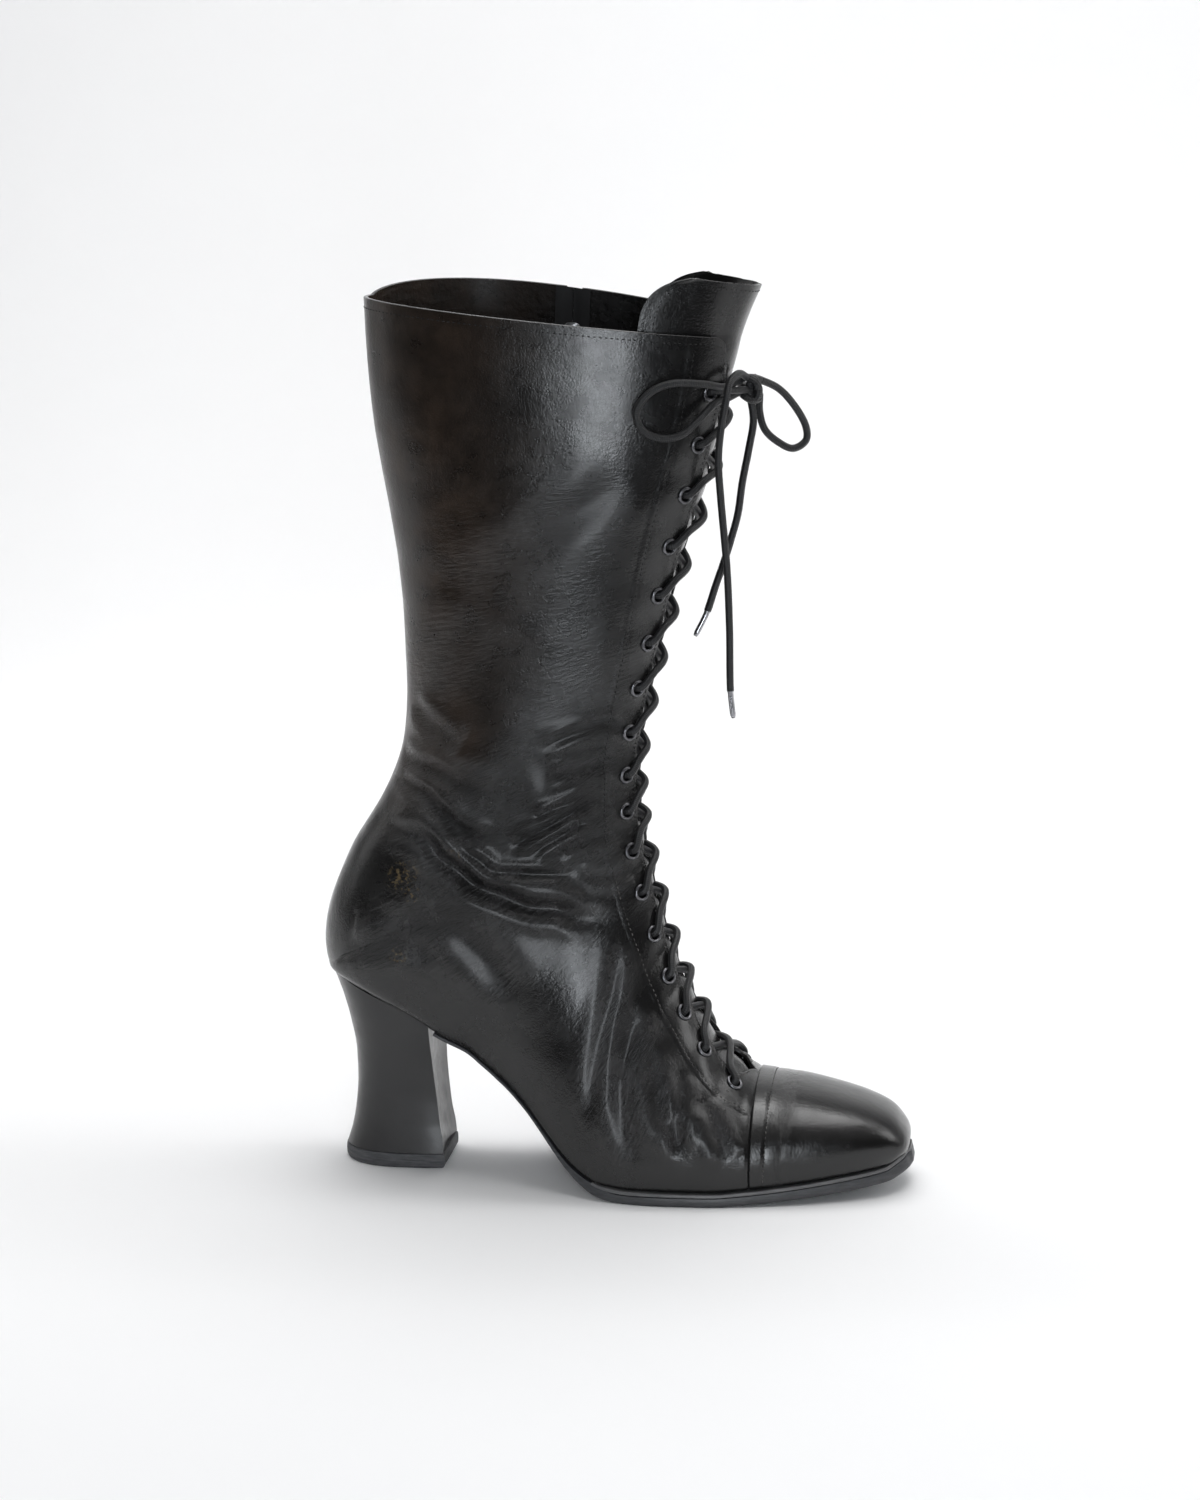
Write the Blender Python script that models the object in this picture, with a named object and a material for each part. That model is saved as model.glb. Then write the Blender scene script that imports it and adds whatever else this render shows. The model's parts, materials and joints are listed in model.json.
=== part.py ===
"""Victorian lace up boot, right shoe, empty and standing on its sole.

Lengths are in millimetres and become metres where a mesh or a cord is made.
X runs from heel to toe, +Y is the medial side, Z is up.
"""
import math

import bpy
from mathutils import Vector

MM = 0.001

# Driving sizes
LENGTH = 254.0
HEIGHT = 372.0
BALL = 90.0
SOLE = 6.2

# Walls, gaps and small pieces
WALL = 1.8
GAP = 0.3
SEAM = 0.5
CAP_WALL = 1.2
STAY_STEP = 0.5
STAY_WIDTH = 20.5
TONGUE_WALL = 1.8
TONGUE_DROP = 2.9
TONGUE_FOOT = 20.0
TONGUE_TOP = 52.0
TONGUE_ROUND = 20.0
TONGUE_RISE = 0.95
INSOLE_WALL = 2.0
MIDSOLE_WALL = 1.4
LIFT_HEIGHT = 6.3
EYELET_RADIUS = 3.3
EYELET_HOLE = 2.0
EYELET_BARREL = 2.4
EYELET_INSET = 7.5
LACE = 2.8
SLOT_WIDTH = 7.0
CHAIN_WIDTH = 5.2
TAPE_WIDTH = 15.0
TAPE_WALL = 0.7
TAPE_DROP = 2.3
ZIP_AT = 0.93
PULL_LENGTH = 22.0

# Rows of the last, toe to collar, where two of them have a job
CAP_ROW = 7
HEEL_ROW = 20
COLLAR_ROW = 32
ZIP_FOOT = 20.7
ZIP_HEAD = 31.68

# Grid columns of the upper, front half and lower half of a section
TOP_COLUMNS = 6
LOW_COLUMNS = 5

# Sections of the upper. Each runs from a point on the front line to one on the
# feather line or the back seam. x in LENGTH from the heel, z in HEIGHT, y and
# half widths in BALL. wide_at is the share of the way from base to front where
# the section is widest, top and low are how square its two arcs are.
SECTIONS = (
    ("front_x", "front_z", "front_y", "base_x", "base_z", "outer", "inner", "wide_at", "top", "low", "gap"),
    (0.992, 0.045, -0.039, 0.982, None, 0.182, 0.107, 0.35, 2.3, 2.0, 0.000),
    (0.993, 0.058, -0.039, 0.970, None, 0.239, 0.164, 0.20, 2.6, 2.0, 0.000),
    (0.983, 0.071, -0.039, 0.953, None, 0.284, 0.212, 0.20, 2.6, 2.0, 0.000),
    (0.961, 0.086, -0.039, 0.925, None, 0.336, 0.266, 0.20, 2.5, 2.0, 0.000),
    (0.921, 0.098, -0.038, 0.886, None, 0.389, 0.317, 0.20, 2.4, 2.0, 0.000),
    (0.866, 0.108, -0.035, 0.839, None, 0.439, 0.361, 0.21, 2.3, 2.0, 0.000),
    (0.803, 0.117, -0.031, 0.787, None, 0.480, 0.393, 0.22, 2.2, 2.0, 0.000),
    (0.734, 0.122, -0.024, 0.734, None, 0.520, 0.417, 0.22, 2.1, 2.0, 0.000),
    (0.709, 0.134, -0.020, 0.685, None, 0.544, 0.422, 0.21, 2.0, 2.0, 0.165),
    (0.681, 0.153, -0.013, 0.634, None, 0.559, 0.414, 0.20, 1.95, 2.0, 0.170),
    (0.656, 0.180, -0.007, 0.575, None, 0.560, 0.393, 0.18, 1.85, 2.0, 0.165),
    (0.630, 0.215, 0.000, 0.512, None, 0.542, 0.353, 0.17, 1.75, 2.0, 0.138),
    (0.608, 0.247, 0.000, 0.453, None, 0.503, 0.324, 0.18, 1.70, 2.0, 0.118),
    (0.589, 0.282, 0.000, 0.398, None, 0.461, 0.311, 0.22, 1.70, 2.0, 0.102),
    (0.573, 0.320, 0.000, 0.335, None, 0.417, 0.311, 0.28, 1.75, 2.0, 0.096),
    (0.561, 0.352, 0.000, 0.272, None, 0.391, 0.317, 0.32, 1.80, 2.0, 0.094),
    (0.551, 0.382, 0.000, 0.201, None, 0.380, 0.328, 0.35, 1.85, 2.1, 0.090),
    (0.544, 0.406, 0.000, 0.126, None, 0.373, 0.338, 0.37, 1.90, 2.2, 0.084),
    (0.539, 0.425, 0.000, 0.059, None, 0.369, 0.344, 0.39, 1.95, 2.3, 0.078),
    (0.537, 0.441, 0.000, 0.022, None, 0.367, 0.348, 0.40, 2.00, 2.4, 0.073),
    (0.535, 0.457, 0.000, 0.003, 0.238, 0.364, 0.350, 0.42, 2.00, 2.4, 0.070),
    (0.534, 0.473, 0.000, -0.002, 0.272, 0.361, 0.350, 0.43, 2.05, 2.3, 0.070),
    (0.537, 0.495, 0.000, 0.010, 0.317, 0.356, 0.349, 0.44, 2.05, 2.2, 0.076),
    (0.543, 0.522, 0.000, 0.047, 0.376, 0.344, 0.344, 0.45, 2.05, 2.2, 0.088),
    (0.553, 0.557, 0.000, 0.098, 0.433, 0.339, 0.339, 0.46, 2.10, 2.1, 0.098),
    (0.565, 0.597, 0.000, 0.132, 0.492, 0.340, 0.340, 0.46, 2.10, 2.1, 0.102),
    (0.581, 0.643, 0.000, 0.142, 0.557, 0.351, 0.351, 0.46, 2.10, 2.1, 0.104),
    (0.598, 0.691, 0.000, 0.140, 0.626, 0.369, 0.369, 0.46, 2.10, 2.1, 0.114),
    (0.620, 0.742, 0.000, 0.132, 0.702, 0.389, 0.389, 0.46, 2.10, 2.1, 0.130),
    (0.646, 0.796, 0.000, 0.114, 0.777, 0.407, 0.407, 0.46, 2.15, 2.1, 0.145),
    (0.665, 0.852, 0.000, 0.096, 0.849, 0.418, 0.418, 0.46, 2.20, 2.1, 0.142),
    (0.677, 0.909, 0.000, 0.085, 0.925, 0.423, 0.423, 0.46, 2.20, 2.1, 0.118),
    (0.685, 0.960, 0.000, 0.079, 1.000, 0.427, 0.427, 0.46, 2.20, 2.1, 0.105),
    (0.700, 1.021, 0.000, 0.072, 1.075, 0.429, 0.429, 0.46, 2.20, 2.1, 0.105),
)

LAST_ROW = len(SECTIONS) - 2

# Underside of the sole: x in LENGTH, z in HEIGHT, edge thickness in SOLE
UNDERSIDE = (
    ("x", "z", "edge"),
    (0.185, 0.1690, 0.33),
    (0.217, 0.1580, 0.33),
    (0.252, 0.1476, 0.31),
    (0.278, 0.1344, 0.29),
    (0.306, 0.1199, 0.29),
    (0.331, 0.1059, 0.28),
    (0.362, 0.0860, 0.28),
    (0.382, 0.0704, 0.28),
    (0.398, 0.0570, 0.31),
    (0.419, 0.0398, 0.39),
    (0.435, 0.0282, 0.48),
    (0.455, 0.0164, 0.63),
    (0.483, 0.0054, 0.82),
    (0.514, 0.0009, 0.89),
    (0.535, 0.0000, 0.89),
    (0.677, 0.0000, 0.89),
    (0.724, 0.0019, 0.90),
    (0.814, 0.0067, 0.95),
    (0.868, 0.0105, 0.98),
    (0.916, 0.0140, 1.00),
    (0.964, 0.0185, 1.00),
    (0.986, 0.0239, 1.00),
    (1.000, 0.0285, 1.00),
)

# Line of the heel seat behind the breast: x in LENGTH, z in HEIGHT
SEAT = (
    ("x", "z"),
    (0.000, 0.2395),
    (0.047, 0.2260),
    (0.094, 0.2110),
    (0.138, 0.1968),
    (0.177, 0.1815),
    (0.189, 0.1765),
)
BREAST = 0.189

# Rows of the eyelets, top to bottom
EYELET_ROWS = (
    30.88, 29.89, 28.92, 27.87, 26.80, 25.70, 24.55, 23.20, 21.29,
    18.80, 16.55, 14.97, 13.60, 12.35, 11.12, 9.90, 8.15,
)
EYELETS = len(EYELET_ROWS)

# Edge of the sole and the heel seat in plan: x in LENGTH, sides in BALL
OUTLINE = (
    ("x", "outer", "inner"),
    (0.000, 0.020, 0.020),
    (0.005, 0.060, 0.060),
    (0.014, 0.120, 0.120),
    (0.035, 0.186, 0.180),
    (0.075, 0.240, 0.230),
    (0.126, 0.266, 0.250),
    (0.185, 0.266, 0.233),
    (0.224, 0.270, 0.216),
    (0.264, 0.280, 0.205),
    (0.323, 0.322, 0.203),
    (0.382, 0.404, 0.228),
    (0.441, 0.488, 0.272),
    (0.500, 0.548, 0.328),
    (0.579, 0.572, 0.394),
    (0.657, 0.561, 0.428),
    (0.736, 0.524, 0.422),
    (0.815, 0.467, 0.386),
    (0.874, 0.411, 0.341),
    (0.921, 0.353, 0.283),
    (0.961, 0.286, 0.211),
    (0.982, 0.222, 0.147),
    (0.994, 0.167, 0.094),
    (1.000, 0.100, 0.028),
)

# How far the sole stands out past the upper: x in LENGTH, ledge in SOLE
LEDGE = (
    ("x", "ledge"),
    (0.000, 0.00),
    (0.200, 0.02),
    (0.270, 0.15),
    (0.390, 0.18),
    (0.500, 0.34),
    (0.600, 0.40),
    (1.000, 0.40),
)

# Cross sections of the sole and the insole, back to toe: x in LENGTH
WAIST_STATIONS = (0.195, 0.224, 0.252, 0.278, 0.305, 0.331, 0.354, 0.378, 0.398, 0.417, 0.435, 0.453)
MIDSOLE_BACK = 0.4685
FORE_STATIONS = (
    0.484, 0.504, 0.535, 0.579, 0.626, 0.677, 0.709, 0.748, 0.795, 0.839,
    0.878, 0.913, 0.941, 0.963, 0.978, 0.989, 0.997, 1.000,
)
INSOLE_STATIONS = (
    0.024, 0.032, 0.045, 0.071, 0.106, 0.154, 0.205, 0.256, 0.295, 0.331, 0.362, 0.390, 0.417,
    0.445, 0.472, 0.504, 0.547, 0.602, 0.658, 0.717, 0.776, 0.835, 0.882, 0.917, 0.941, 0.958,
)

# Heel block, floor to seat: height share of the block, back and breast x in
# LENGTH, half widths in BALL
HEEL = (
    ("height", "back", "breast", "half"),
    (0.00, 0.0290, 0.2065, 0.200),
    (0.09, 0.0375, 0.2050, 0.193),
    (0.22, 0.0445, 0.2000, 0.184),
    (0.38, 0.0485, 0.1960, 0.180),
    (0.55, 0.0470, 0.1920, 0.190),
    (0.72, 0.0380, 0.1890, 0.212),
    (0.87, 0.0250, 0.1870, 0.240),
    (1.00, 0.0080, 0.1860, 0.262),
)

# Cords of the bow, points chosen by hand: x, y, z in millimetres
KNOT = ((52.6, 0.0, 332.5), (53.2, 0.0, 337.5), (52.8, 0.0, 342.0))
LOOP_LATERAL = (
    (49.5, -2.4, 339.7), (43.9, -15.2, 337.8), (37.6, -26.6, 339.9), (25.4, -34.0, 340.7),
    (16.7, -36.8, 337.2), (11.5, -38.5, 330.0), (13.4, -37.5, 322.6), (20.3, -34.5, 318.8),
    (28.3, -31.0, 319.7), (34.6, -26.5, 325.0), (40.4, -20.6, 331.2), (44.8, -12.0, 332.8),
    (49.5, -2.4, 334.9),
)
LOOP_MEDIAL = (
    (57.0, 2.0, 339.5), (64.1, 8.0, 335.5), (70.0, 12.0, 328.8), (74.8, 16.0, 320.0),
    (75.2, 17.0, 313.3), (70.0, 15.0, 310.0), (64.1, 11.0, 313.0), (59.0, 6.5, 318.5),
    (56.9, 4.6, 326.0), (57.0, 3.4, 333.2),
)
END_LATERAL = (
    (52.4, -3.85, 340.8), (49.6, -11.6, 343.0), (46.8, -19.8, 339.8), (45.4, -23.0, 331.0),
    (43.6, -21.5, 321.0), (42.4, -18.5, 307.8), (43.3, -16.0, 291.6), (44.7, -14.0, 275.3),
    (45.9, -12.0, 259.0), (46.7, -10.0, 236.8), (47.1, -9.0, 213.0), (48.4, -8.0, 200.0),
)
END_MEDIAL = (
    (53.5, 0.8, 331.6), (54.6, 2.0, 322.4), (52.9, 2.0, 311.3), (50.3, 2.0, 297.2),
    (48.6, 2.0, 284.3), (45.8, 2.0, 273.4), (42.5, 2.0, 262.5), (39.6, 1.0, 253.8),
    (36.2, 0.0, 242.9), (31.5, -1.5, 233.0),
)

MATERIALS = {
    "black leather": ((0.018, 0.017, 0.017), 0.0, 0.32),
    "black lining": ((0.022, 0.021, 0.021), 0.0, 0.45),
    "sole leather": ((0.030, 0.024, 0.021), 0.0, 0.50),
    "welt leather": ((0.060, 0.050, 0.044), 0.0, 0.50),
    "heel leather": ((0.016, 0.016, 0.017), 0.0, 0.38),
    "heel rubber": ((0.030, 0.028, 0.027), 0.0, 0.75),
    "insole board": ((0.050, 0.042, 0.036), 0.0, 0.65),
    "dark metal": ((0.16, 0.16, 0.17), 1.0, 0.35),
    "zip metal": ((0.55, 0.55, 0.56), 1.0, 0.30),
    "lace cotton": ((0.020, 0.020, 0.021), 0.0, 0.60),
}


def clear_scene():
    for thing in list(bpy.context.scene.objects):
        bpy.data.objects.remove(thing, do_unlink=True)


def material(name, piece):
    colour, metallic, roughness = MATERIALS[name]
    made = bpy.data.materials.new(f"{name} {piece}")
    made.use_nodes = True
    shader = made.node_tree.nodes["Principled BSDF"]
    shader.inputs["Base Color"].default_value = (*colour, 1.0)
    shader.inputs["Metallic"].default_value = metallic
    shader.inputs["Roughness"].default_value = roughness
    return made


def solid(name, points, faces, look):
    mesh = bpy.data.meshes.new(name)
    mesh.from_pydata([tuple(c * MM for c in p) for p in points], [], faces)
    mesh.validate()
    thing = bpy.data.objects.new(name, mesh)
    bpy.context.scene.collection.objects.link(thing)
    if look:
        mesh.materials.append(material(look, name))
    return thing


def cutter(name, points, faces):
    thing = solid(name, points, faces, None)
    thing.hide_render = True
    thing.display_type = "WIRE"
    return thing


def boolean(thing, tool, operation):
    step = thing.modifiers.new(f"{operation.lower()} {tool.name}", "BOOLEAN")
    step.operation = operation
    step.solver = "EXACT"
    step.object = tool


def smooth_share(table, x, name):
    """Value of a column at x, with slopes limited so that nothing overshoots."""
    column = table[0].index(name)
    rows = table[1:]
    if x <= rows[0][0]:
        return rows[0][column]
    if x >= rows[-1][0]:
        return rows[-1][column]
    i = 0
    while rows[i + 1][0] < x:
        i += 1
    step = rows[i + 1][0] - rows[i][0]
    rise = (rows[i + 1][column] - rows[i][column]) / step
    before = rise
    after = rise
    if i > 0:
        before = limited(rise, (rows[i][column] - rows[i - 1][column]) / (rows[i][0] - rows[i - 1][0]))
    if i + 2 < len(rows):
        after = limited(rise, (rows[i + 2][column] - rows[i + 1][column]) / (rows[i + 2][0] - rows[i + 1][0]))
    f = (x - rows[i][0]) / step
    low = rows[i][column] * (1 + 2 * f) * (1 - f) ** 2 + before * step * f * (1 - f) ** 2
    high = rows[i + 1][column] * f * f * (3 - 2 * f) - after * step * f * f * (1 - f)
    return low + high


def limited(a, b):
    if a * b <= 0:
        return 0.0
    return 2 * a * b / (a + b)


def share_x(x):
    return x / LENGTH + 0.5


def place_x(share):
    return (share - 0.5) * LENGTH


def underside(x):
    return smooth_share(UNDERSIDE, share_x(x), "z") * HEIGHT


def sole_slope(x):
    return math.atan2(underside(x + 0.5) - underside(x - 0.5), 1.0)


def sole_wall(x):
    return smooth_share(UNDERSIDE, share_x(x), "edge") * SOLE


def outline(x, side):
    return smooth_share(OUTLINE, share_x(x), "outer" if side < 0 else "inner") * BALL


def ledge(x):
    return smooth_share(LEDGE, share_x(x), "ledge") * SOLE


def feather(x):
    """Height of the line where the upper meets the sole or the heel seat."""
    if share_x(x) < BREAST:
        return smooth_share(SEAT, share_x(x), "z") * HEIGHT
    return underside(x) + sole_wall(x) / math.cos(sole_slope(x)) + SEAM


def curve_value(row, name, first=0):
    """Smooth value of a column of the section table at any row."""
    column = SECTIONS[0].index(name)
    i = max(0, min(LAST_ROW - 1, int(math.floor(row))))
    f = row - i
    near = [max(first, min(LAST_ROW, k)) for k in (i - 1, i, i + 1, i + 2)]
    return eased_value(f, *[SECTIONS[1 + k][column] for k in near])


def eased_value(f, a, b, c, d):
    """Value a share f of the way from b to c on a smooth curve through all four."""
    return b + 0.5 * f * (c - a + f * (2 * a - 5 * b + 4 * c - d + f * (3 * (b - c) + d - a)))


def base_point(row):
    x = (curve_value(row, "base_x") - 0.5) * LENGTH
    if row <= HEEL_ROW:
        return x, feather(x)
    return x, curve_value(row, "base_z", HEEL_ROW) * HEIGHT


def spot(row, side, turn):
    """Point of the outer face. turn is 0 on the front line, 1 where the
    section is widest and 2 on the feather line or the back seam."""
    if turn < 0:
        side = -side
        turn = -turn
    if turn > 2 and row >= HEEL_ROW:
        side = -side
        turn = 4 - turn
    turn = min(turn, 2.0)
    front_x = (curve_value(row, "front_x") - 0.5) * LENGTH
    front_z = curve_value(row, "front_z") * HEIGHT
    front_y = curve_value(row, "front_y") * BALL
    base_x, base_z = base_point(row)
    wide = side * curve_value(row, "outer" if side < 0 else "inner") * BALL
    wide_at = curve_value(row, "wide_at")
    base_y = 0.0
    if row < HEEL_ROW:
        base_y = side * (outline(base_x, side) - ledge(base_x))
        closing = max(0.0, row - (HEEL_ROW - 1))
        base_y *= math.sqrt(max(0.0, 1 - closing ** 2))
    if turn <= 1:
        power = 2 / curve_value(row, "top")
        angle = turn * math.pi / 2
        y = front_y + (wide - front_y) * math.sin(angle) ** power
        u = wide_at + (1 - wide_at) * max(0.0, math.cos(angle)) ** power
    else:
        power = 2 / curve_value(row, "low")
        angle = (turn - 1) * math.pi / 2
        y = base_y + (wide - base_y) * max(0.0, math.cos(angle)) ** power
        u = wide_at * (1 - math.sin(angle) ** power)
    return Vector((base_x + u * (front_x - base_x), y, base_z + u * (front_z - base_z)))


def frame(row, side, turn):
    """Point, outward normal, up tangent and round tangent of the outer face."""
    here = spot(row, side, turn)
    row = max(row, 0.4)
    if row < HEEL_ROW - 0.5:
        turn = min(turn, 1.7)
    low = max(0.0, row - 0.1)
    high = min(LAST_ROW - 0.001, row + 0.1)
    up = spot(high, side, turn) - spot(low, side, turn)
    before = spot(row, side, turn - 0.04)
    after = spot(row, side, turn + 0.04)
    round_ = after - before
    normal = round_.cross(up) * side
    return here, normal.normalized(), up.normalized(), round_.normalized()


def offset(row, side, turn, distance):
    point, normal = frame(row, side, turn)[:2]
    return point + normal * distance


def turn_at(row, side, distance):
    """The turn that lies a given distance round the face from the front line."""
    last = spot(row, side, 0.0)
    run = 0.0
    steps = 200
    for k in range(1, steps):
        turn = 1.98 * k / steps
        here = spot(row, side, turn)
        length = (here - last).length
        if run + length >= distance:
            return 1.98 * (k - 1 + (distance - run) / length) / steps
        run += length
        last = here
    return 1.98


def throat(row):
    """Half of the open throat at a row, measured round the face."""
    if row <= CAP_ROW:
        return 0.0
    return curve_value(row, "gap") * BALL


def collar(side, turn):
    """Row of the collar edge: level on the outer side, higher on the inner."""
    row = COLLAR_ROW
    if side > 0:
        row += 0.36 * math.sin(math.pi * min(1.0, turn / 1.9)) ** 0.8
    return row


def upper_columns(row, side):
    """Turns of the grid columns of a row, from the throat to the base."""
    start = turn_at(row, side, throat(row)) if throat(row) else 0.0
    stay = throat(row) + STAY_WIDTH
    half = turn_at(row, side, stay / 2 + throat(row) / 2)
    inside = turn_at(row, side, stay - 0.35)
    outside = turn_at(row, side, stay + 0.35)
    turns = [start, half, inside, outside]
    for k in (1, 2, 3):
        turns.append(outside + (1 - outside) * k / 3)
    for k in range(1, LOW_COLUMNS + 1):
        turns.append(1 + k / LOW_COLUMNS)
    return turns


def upper_drop(row, column):
    """Steps of the outer face: down under the toe cap, up on the eyestay."""
    if row < CAP_ROW - 0.02:
        return -(CAP_WALL + (2 if row < 3 else 1) * SEAM)
    if row > CAP_ROW + 0.5 and column <= 2:
        return STAY_STEP
    return 0.0


def build_upper():
    rows = list(range(CAP_ROW)) + [CAP_ROW - 0.07] + list(range(CAP_ROW, COLLAR_ROW + 1))
    points = []
    inner = []
    names = {}
    last = TOP_COLUMNS + LOW_COLUMNS
    for i, row in enumerate(rows):
        for side in (-1, 1):
            for j, turn in enumerate(upper_columns(row, side)):
                shared_front = j == 0 and row <= CAP_ROW
                shared_back = j == last and row >= HEEL_ROW
                if side == 1 and (shared_front or shared_back):
                    names[i, side, j] = names[i, -1, j]
                    continue
                at = row
                if row == COLLAR_ROW:
                    at = collar(side, turn)
                    if j == 0:
                        at -= 0.30
                names[i, side, j] = len(points)
                points.append(offset(at, side, turn, upper_drop(row, j)))
                inner.append(offset(at, side, turn, upper_drop(row, j) - WALL))
    faces = []
    for i in range(len(rows) - 1):
        for side in (-1, 1):
            for j in range(last):
                ring = [names[i, side, j], names[i, side, j + 1], names[i + 1, side, j + 1], names[i + 1, side, j]]
                faces.append(ring if side > 0 else ring[::-1])
    return solid("upper", points + inner, walled(faces, len(points)), "black leather")


def walled(faces, count):
    """Faces of the outer layer, the inner one and the rims between them."""
    directed = set()
    for ring in faces:
        for k, a in enumerate(ring):
            directed.add((a, ring[(k + 1) % len(ring)]))
    rims = [(b, a, a + count, b + count) for a, b in sorted(directed) if (b, a) not in directed]
    inside = [tuple(a + count for a in reversed(ring)) for ring in faces]
    return [tuple(ring) for ring in faces] + inside + rims


def sheet(name, rows, columns, drop, wall, look):
    """Closed sheet under or over the outer face, with the wall inward."""
    points = []
    for depth in (drop, drop - wall):
        for row in rows:
            for side, turn in columns(row):
                points.append(offset(row, side, turn, depth))
    wide = len(columns(rows[0]))
    tall = len(rows)
    return solid(name, points, sheet_faces(wide, tall), look)


def sheet_faces(wide, tall):
    layer = wide * tall
    faces = []
    for i in range(tall - 1):
        for j in range(wide - 1):
            a = i * wide + j
            ring = (a, a + 1, a + wide + 1, a + wide)
            faces.append(ring)
            faces.append(tuple(layer + k for k in reversed(ring)))
    border = [j for j in range(wide)]
    border += [i * wide + wide - 1 for i in range(1, tall)]
    border += [(tall - 1) * wide + j for j in range(wide - 2, -1, -1)]
    border += [i * wide for i in range(tall - 2, 0, -1)]
    for k, a in enumerate(border):
        b = border[(k + 1) % len(border)]
        faces.append((b, a, layer + a, layer + b))
    return faces


def build_toe_cap():
    def columns(row):
        lateral = [(-1, turn) for turn in reversed(upper_columns(row, -1)[1:])]
        medial = [(1, turn) for turn in upper_columns(row, 1)]
        return lateral + medial

    rows = list(range(CAP_ROW)) + [CAP_ROW - 0.12]
    return sheet("toe_cap", rows, columns, 0.0, CAP_WALL, "black leather")


def tongue_half(row):
    """Half width of the tongue round the face at a row."""
    grown = (row - CAP_ROW) / (COLLAR_ROW - CAP_ROW)
    half = TONGUE_FOOT + (TONGUE_TOP - TONGUE_FOOT) * grown ** 1.3
    rounding = max(0.0, row - COLLAR_ROW) / TONGUE_RISE
    return half - TONGUE_ROUND * rounding ** 3


def build_tongue():
    def columns(row):
        half = tongue_half(row)
        spread = []
        for k in range(-3, 4):
            side = -1 if k < 0 else 1
            spread.append((side, turn_at(row, side, abs(k) / 3 * half) if k else 0.0))
        return spread

    rows = [7.7, 8.4, 9.2, 10.3, 11.5, 13, 14.5, 16, 18, 20, 22, 23.5, 25, 26.5, 28, 29.5, 31]
    rows += [COLLAR_ROW, COLLAR_ROW + 0.5 * TONGUE_RISE, COLLAR_ROW + 0.85 * TONGUE_RISE]
    rows.append(COLLAR_ROW + TONGUE_RISE)
    return sheet("tongue", rows, columns, -TONGUE_DROP, TONGUE_WALL, "black leather")


def paired(name, rings, look):
    """Solid from stacked rings of matched left and right points."""
    points = []
    count = len(rings[0])
    for ring in rings:
        for x, left, right, z in ring:
            points.append((x, -left, z))
            points.append((x, right, z))
    faces = []
    layer = count * 2
    for level in range(len(rings) - 1):
        low = level * layer
        high = low + layer
        for k in range(count - 1):
            a = low + 2 * k
            b = high + 2 * k
            faces.append((a, a + 2, b + 2, b))
            faces.append((a + 3, a + 1, b + 1, b + 3))
        faces.append((low + 1, low, high, high + 1))
        end = low + layer - 2
        faces.append((end, end + 1, end + layer + 1, end + layer))
    top = (len(rings) - 1) * layer
    for k in range(count - 1):
        a = 2 * k
        faces.append((a, a + 1, a + 3, a + 2))
        a += top
        faces.append((a, a + 2, a + 3, a + 1))
    return solid(name, points, faces, look)


def sole_ring(stations, height, inset):
    ring = []
    for x in stations:
        slope = sole_slope(x)
        rise = height(x)
        left = outline(x, -1) - inset
        right = outline(x, 1) - inset
        ring.append((x - rise * math.sin(slope), left, right, underside(x) + rise * math.cos(slope)))
    return ring


def build_outsole():
    step = place_x(MIDSOLE_BACK) - 2 * GAP
    stations = [place_x(share) for share in WAIST_STATIONS] + [step - SEAM, step]
    stations += [place_x(share) for share in FORE_STATIONS]

    def top(x):
        if x >= step:
            return sole_wall(x) - MIDSOLE_WALL - GAP
        return sole_wall(x) - SEAM

    def edge(x):
        return 0.3 * top(x)

    rings = [sole_ring(stations, lambda x: 0.0, 0.8), sole_ring(stations, edge, 0.0), sole_ring(stations, top, 0.0)]
    return paired("outsole", rings, "sole leather")


def build_midsole():
    stations = [place_x(share) for share in (MIDSOLE_BACK,) + FORE_STATIONS]

    def low(x):
        return sole_wall(x) - MIDSOLE_WALL

    return paired("midsole", [sole_ring(stations, low, 0.1), sole_ring(stations, sole_wall, 0.1)], "welt leather")


def build_insole():
    def inset(share):
        x = place_x(share)
        if share > 0.677:
            return ledge(x) + WALL + CAP_WALL + 2.0
        if share > 0.303:
            return ledge(x) + WALL + 1.2
        return WALL + 2.4

    rings = []
    for rise in (0.0, INSOLE_WALL):
        ring = []
        for share in INSOLE_STATIONS:
            x = place_x(share)
            squeeze = 1 - 0.5 * (max(0.0, share - 0.894) / 0.067) ** 3
            left = max(1.5, outline(x, -1) - inset(share)) * squeeze
            right = max(1.5, outline(x, 1) - inset(share)) * squeeze
            ring.append((x, left, right, feather(x) + rise))
        rings.append(ring)
    return paired("insole", rings, "insole board")


def heel_ring(share, drop):
    back = (smooth_share(HEEL, share, "back") - 0.5) * LENGTH
    breast = (smooth_share(HEEL, share, "breast") - 0.5) * LENGTH
    half = smooth_share(HEEL, share, "half") * BALL
    base = LIFT_HEIGHT + GAP
    ring = []
    for k in range(11):
        along = (1 - math.cos(math.pi * k / 10)) / 2
        x = back + (breast - back) * along
        square = 1 - (1 - min(1.0, along / 0.55)) ** 2.4
        wide = max(half * square ** 0.5, half * 0.16)
        wide *= 1 - 0.10 * max(0.0, (along - 0.55) / 0.45) ** 3
        seat = feather(x) - SEAM
        ring.append((x, wide, wide * 0.96, base + (seat - base) * share - drop))
    return ring


def build_heel():
    shares = [0.0, 0.09, 0.22, 0.38, 0.55, 0.72, 0.87, 1.0]
    return paired("heel", [heel_ring(share, 0.0) for share in shares], "heel leather")


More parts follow.
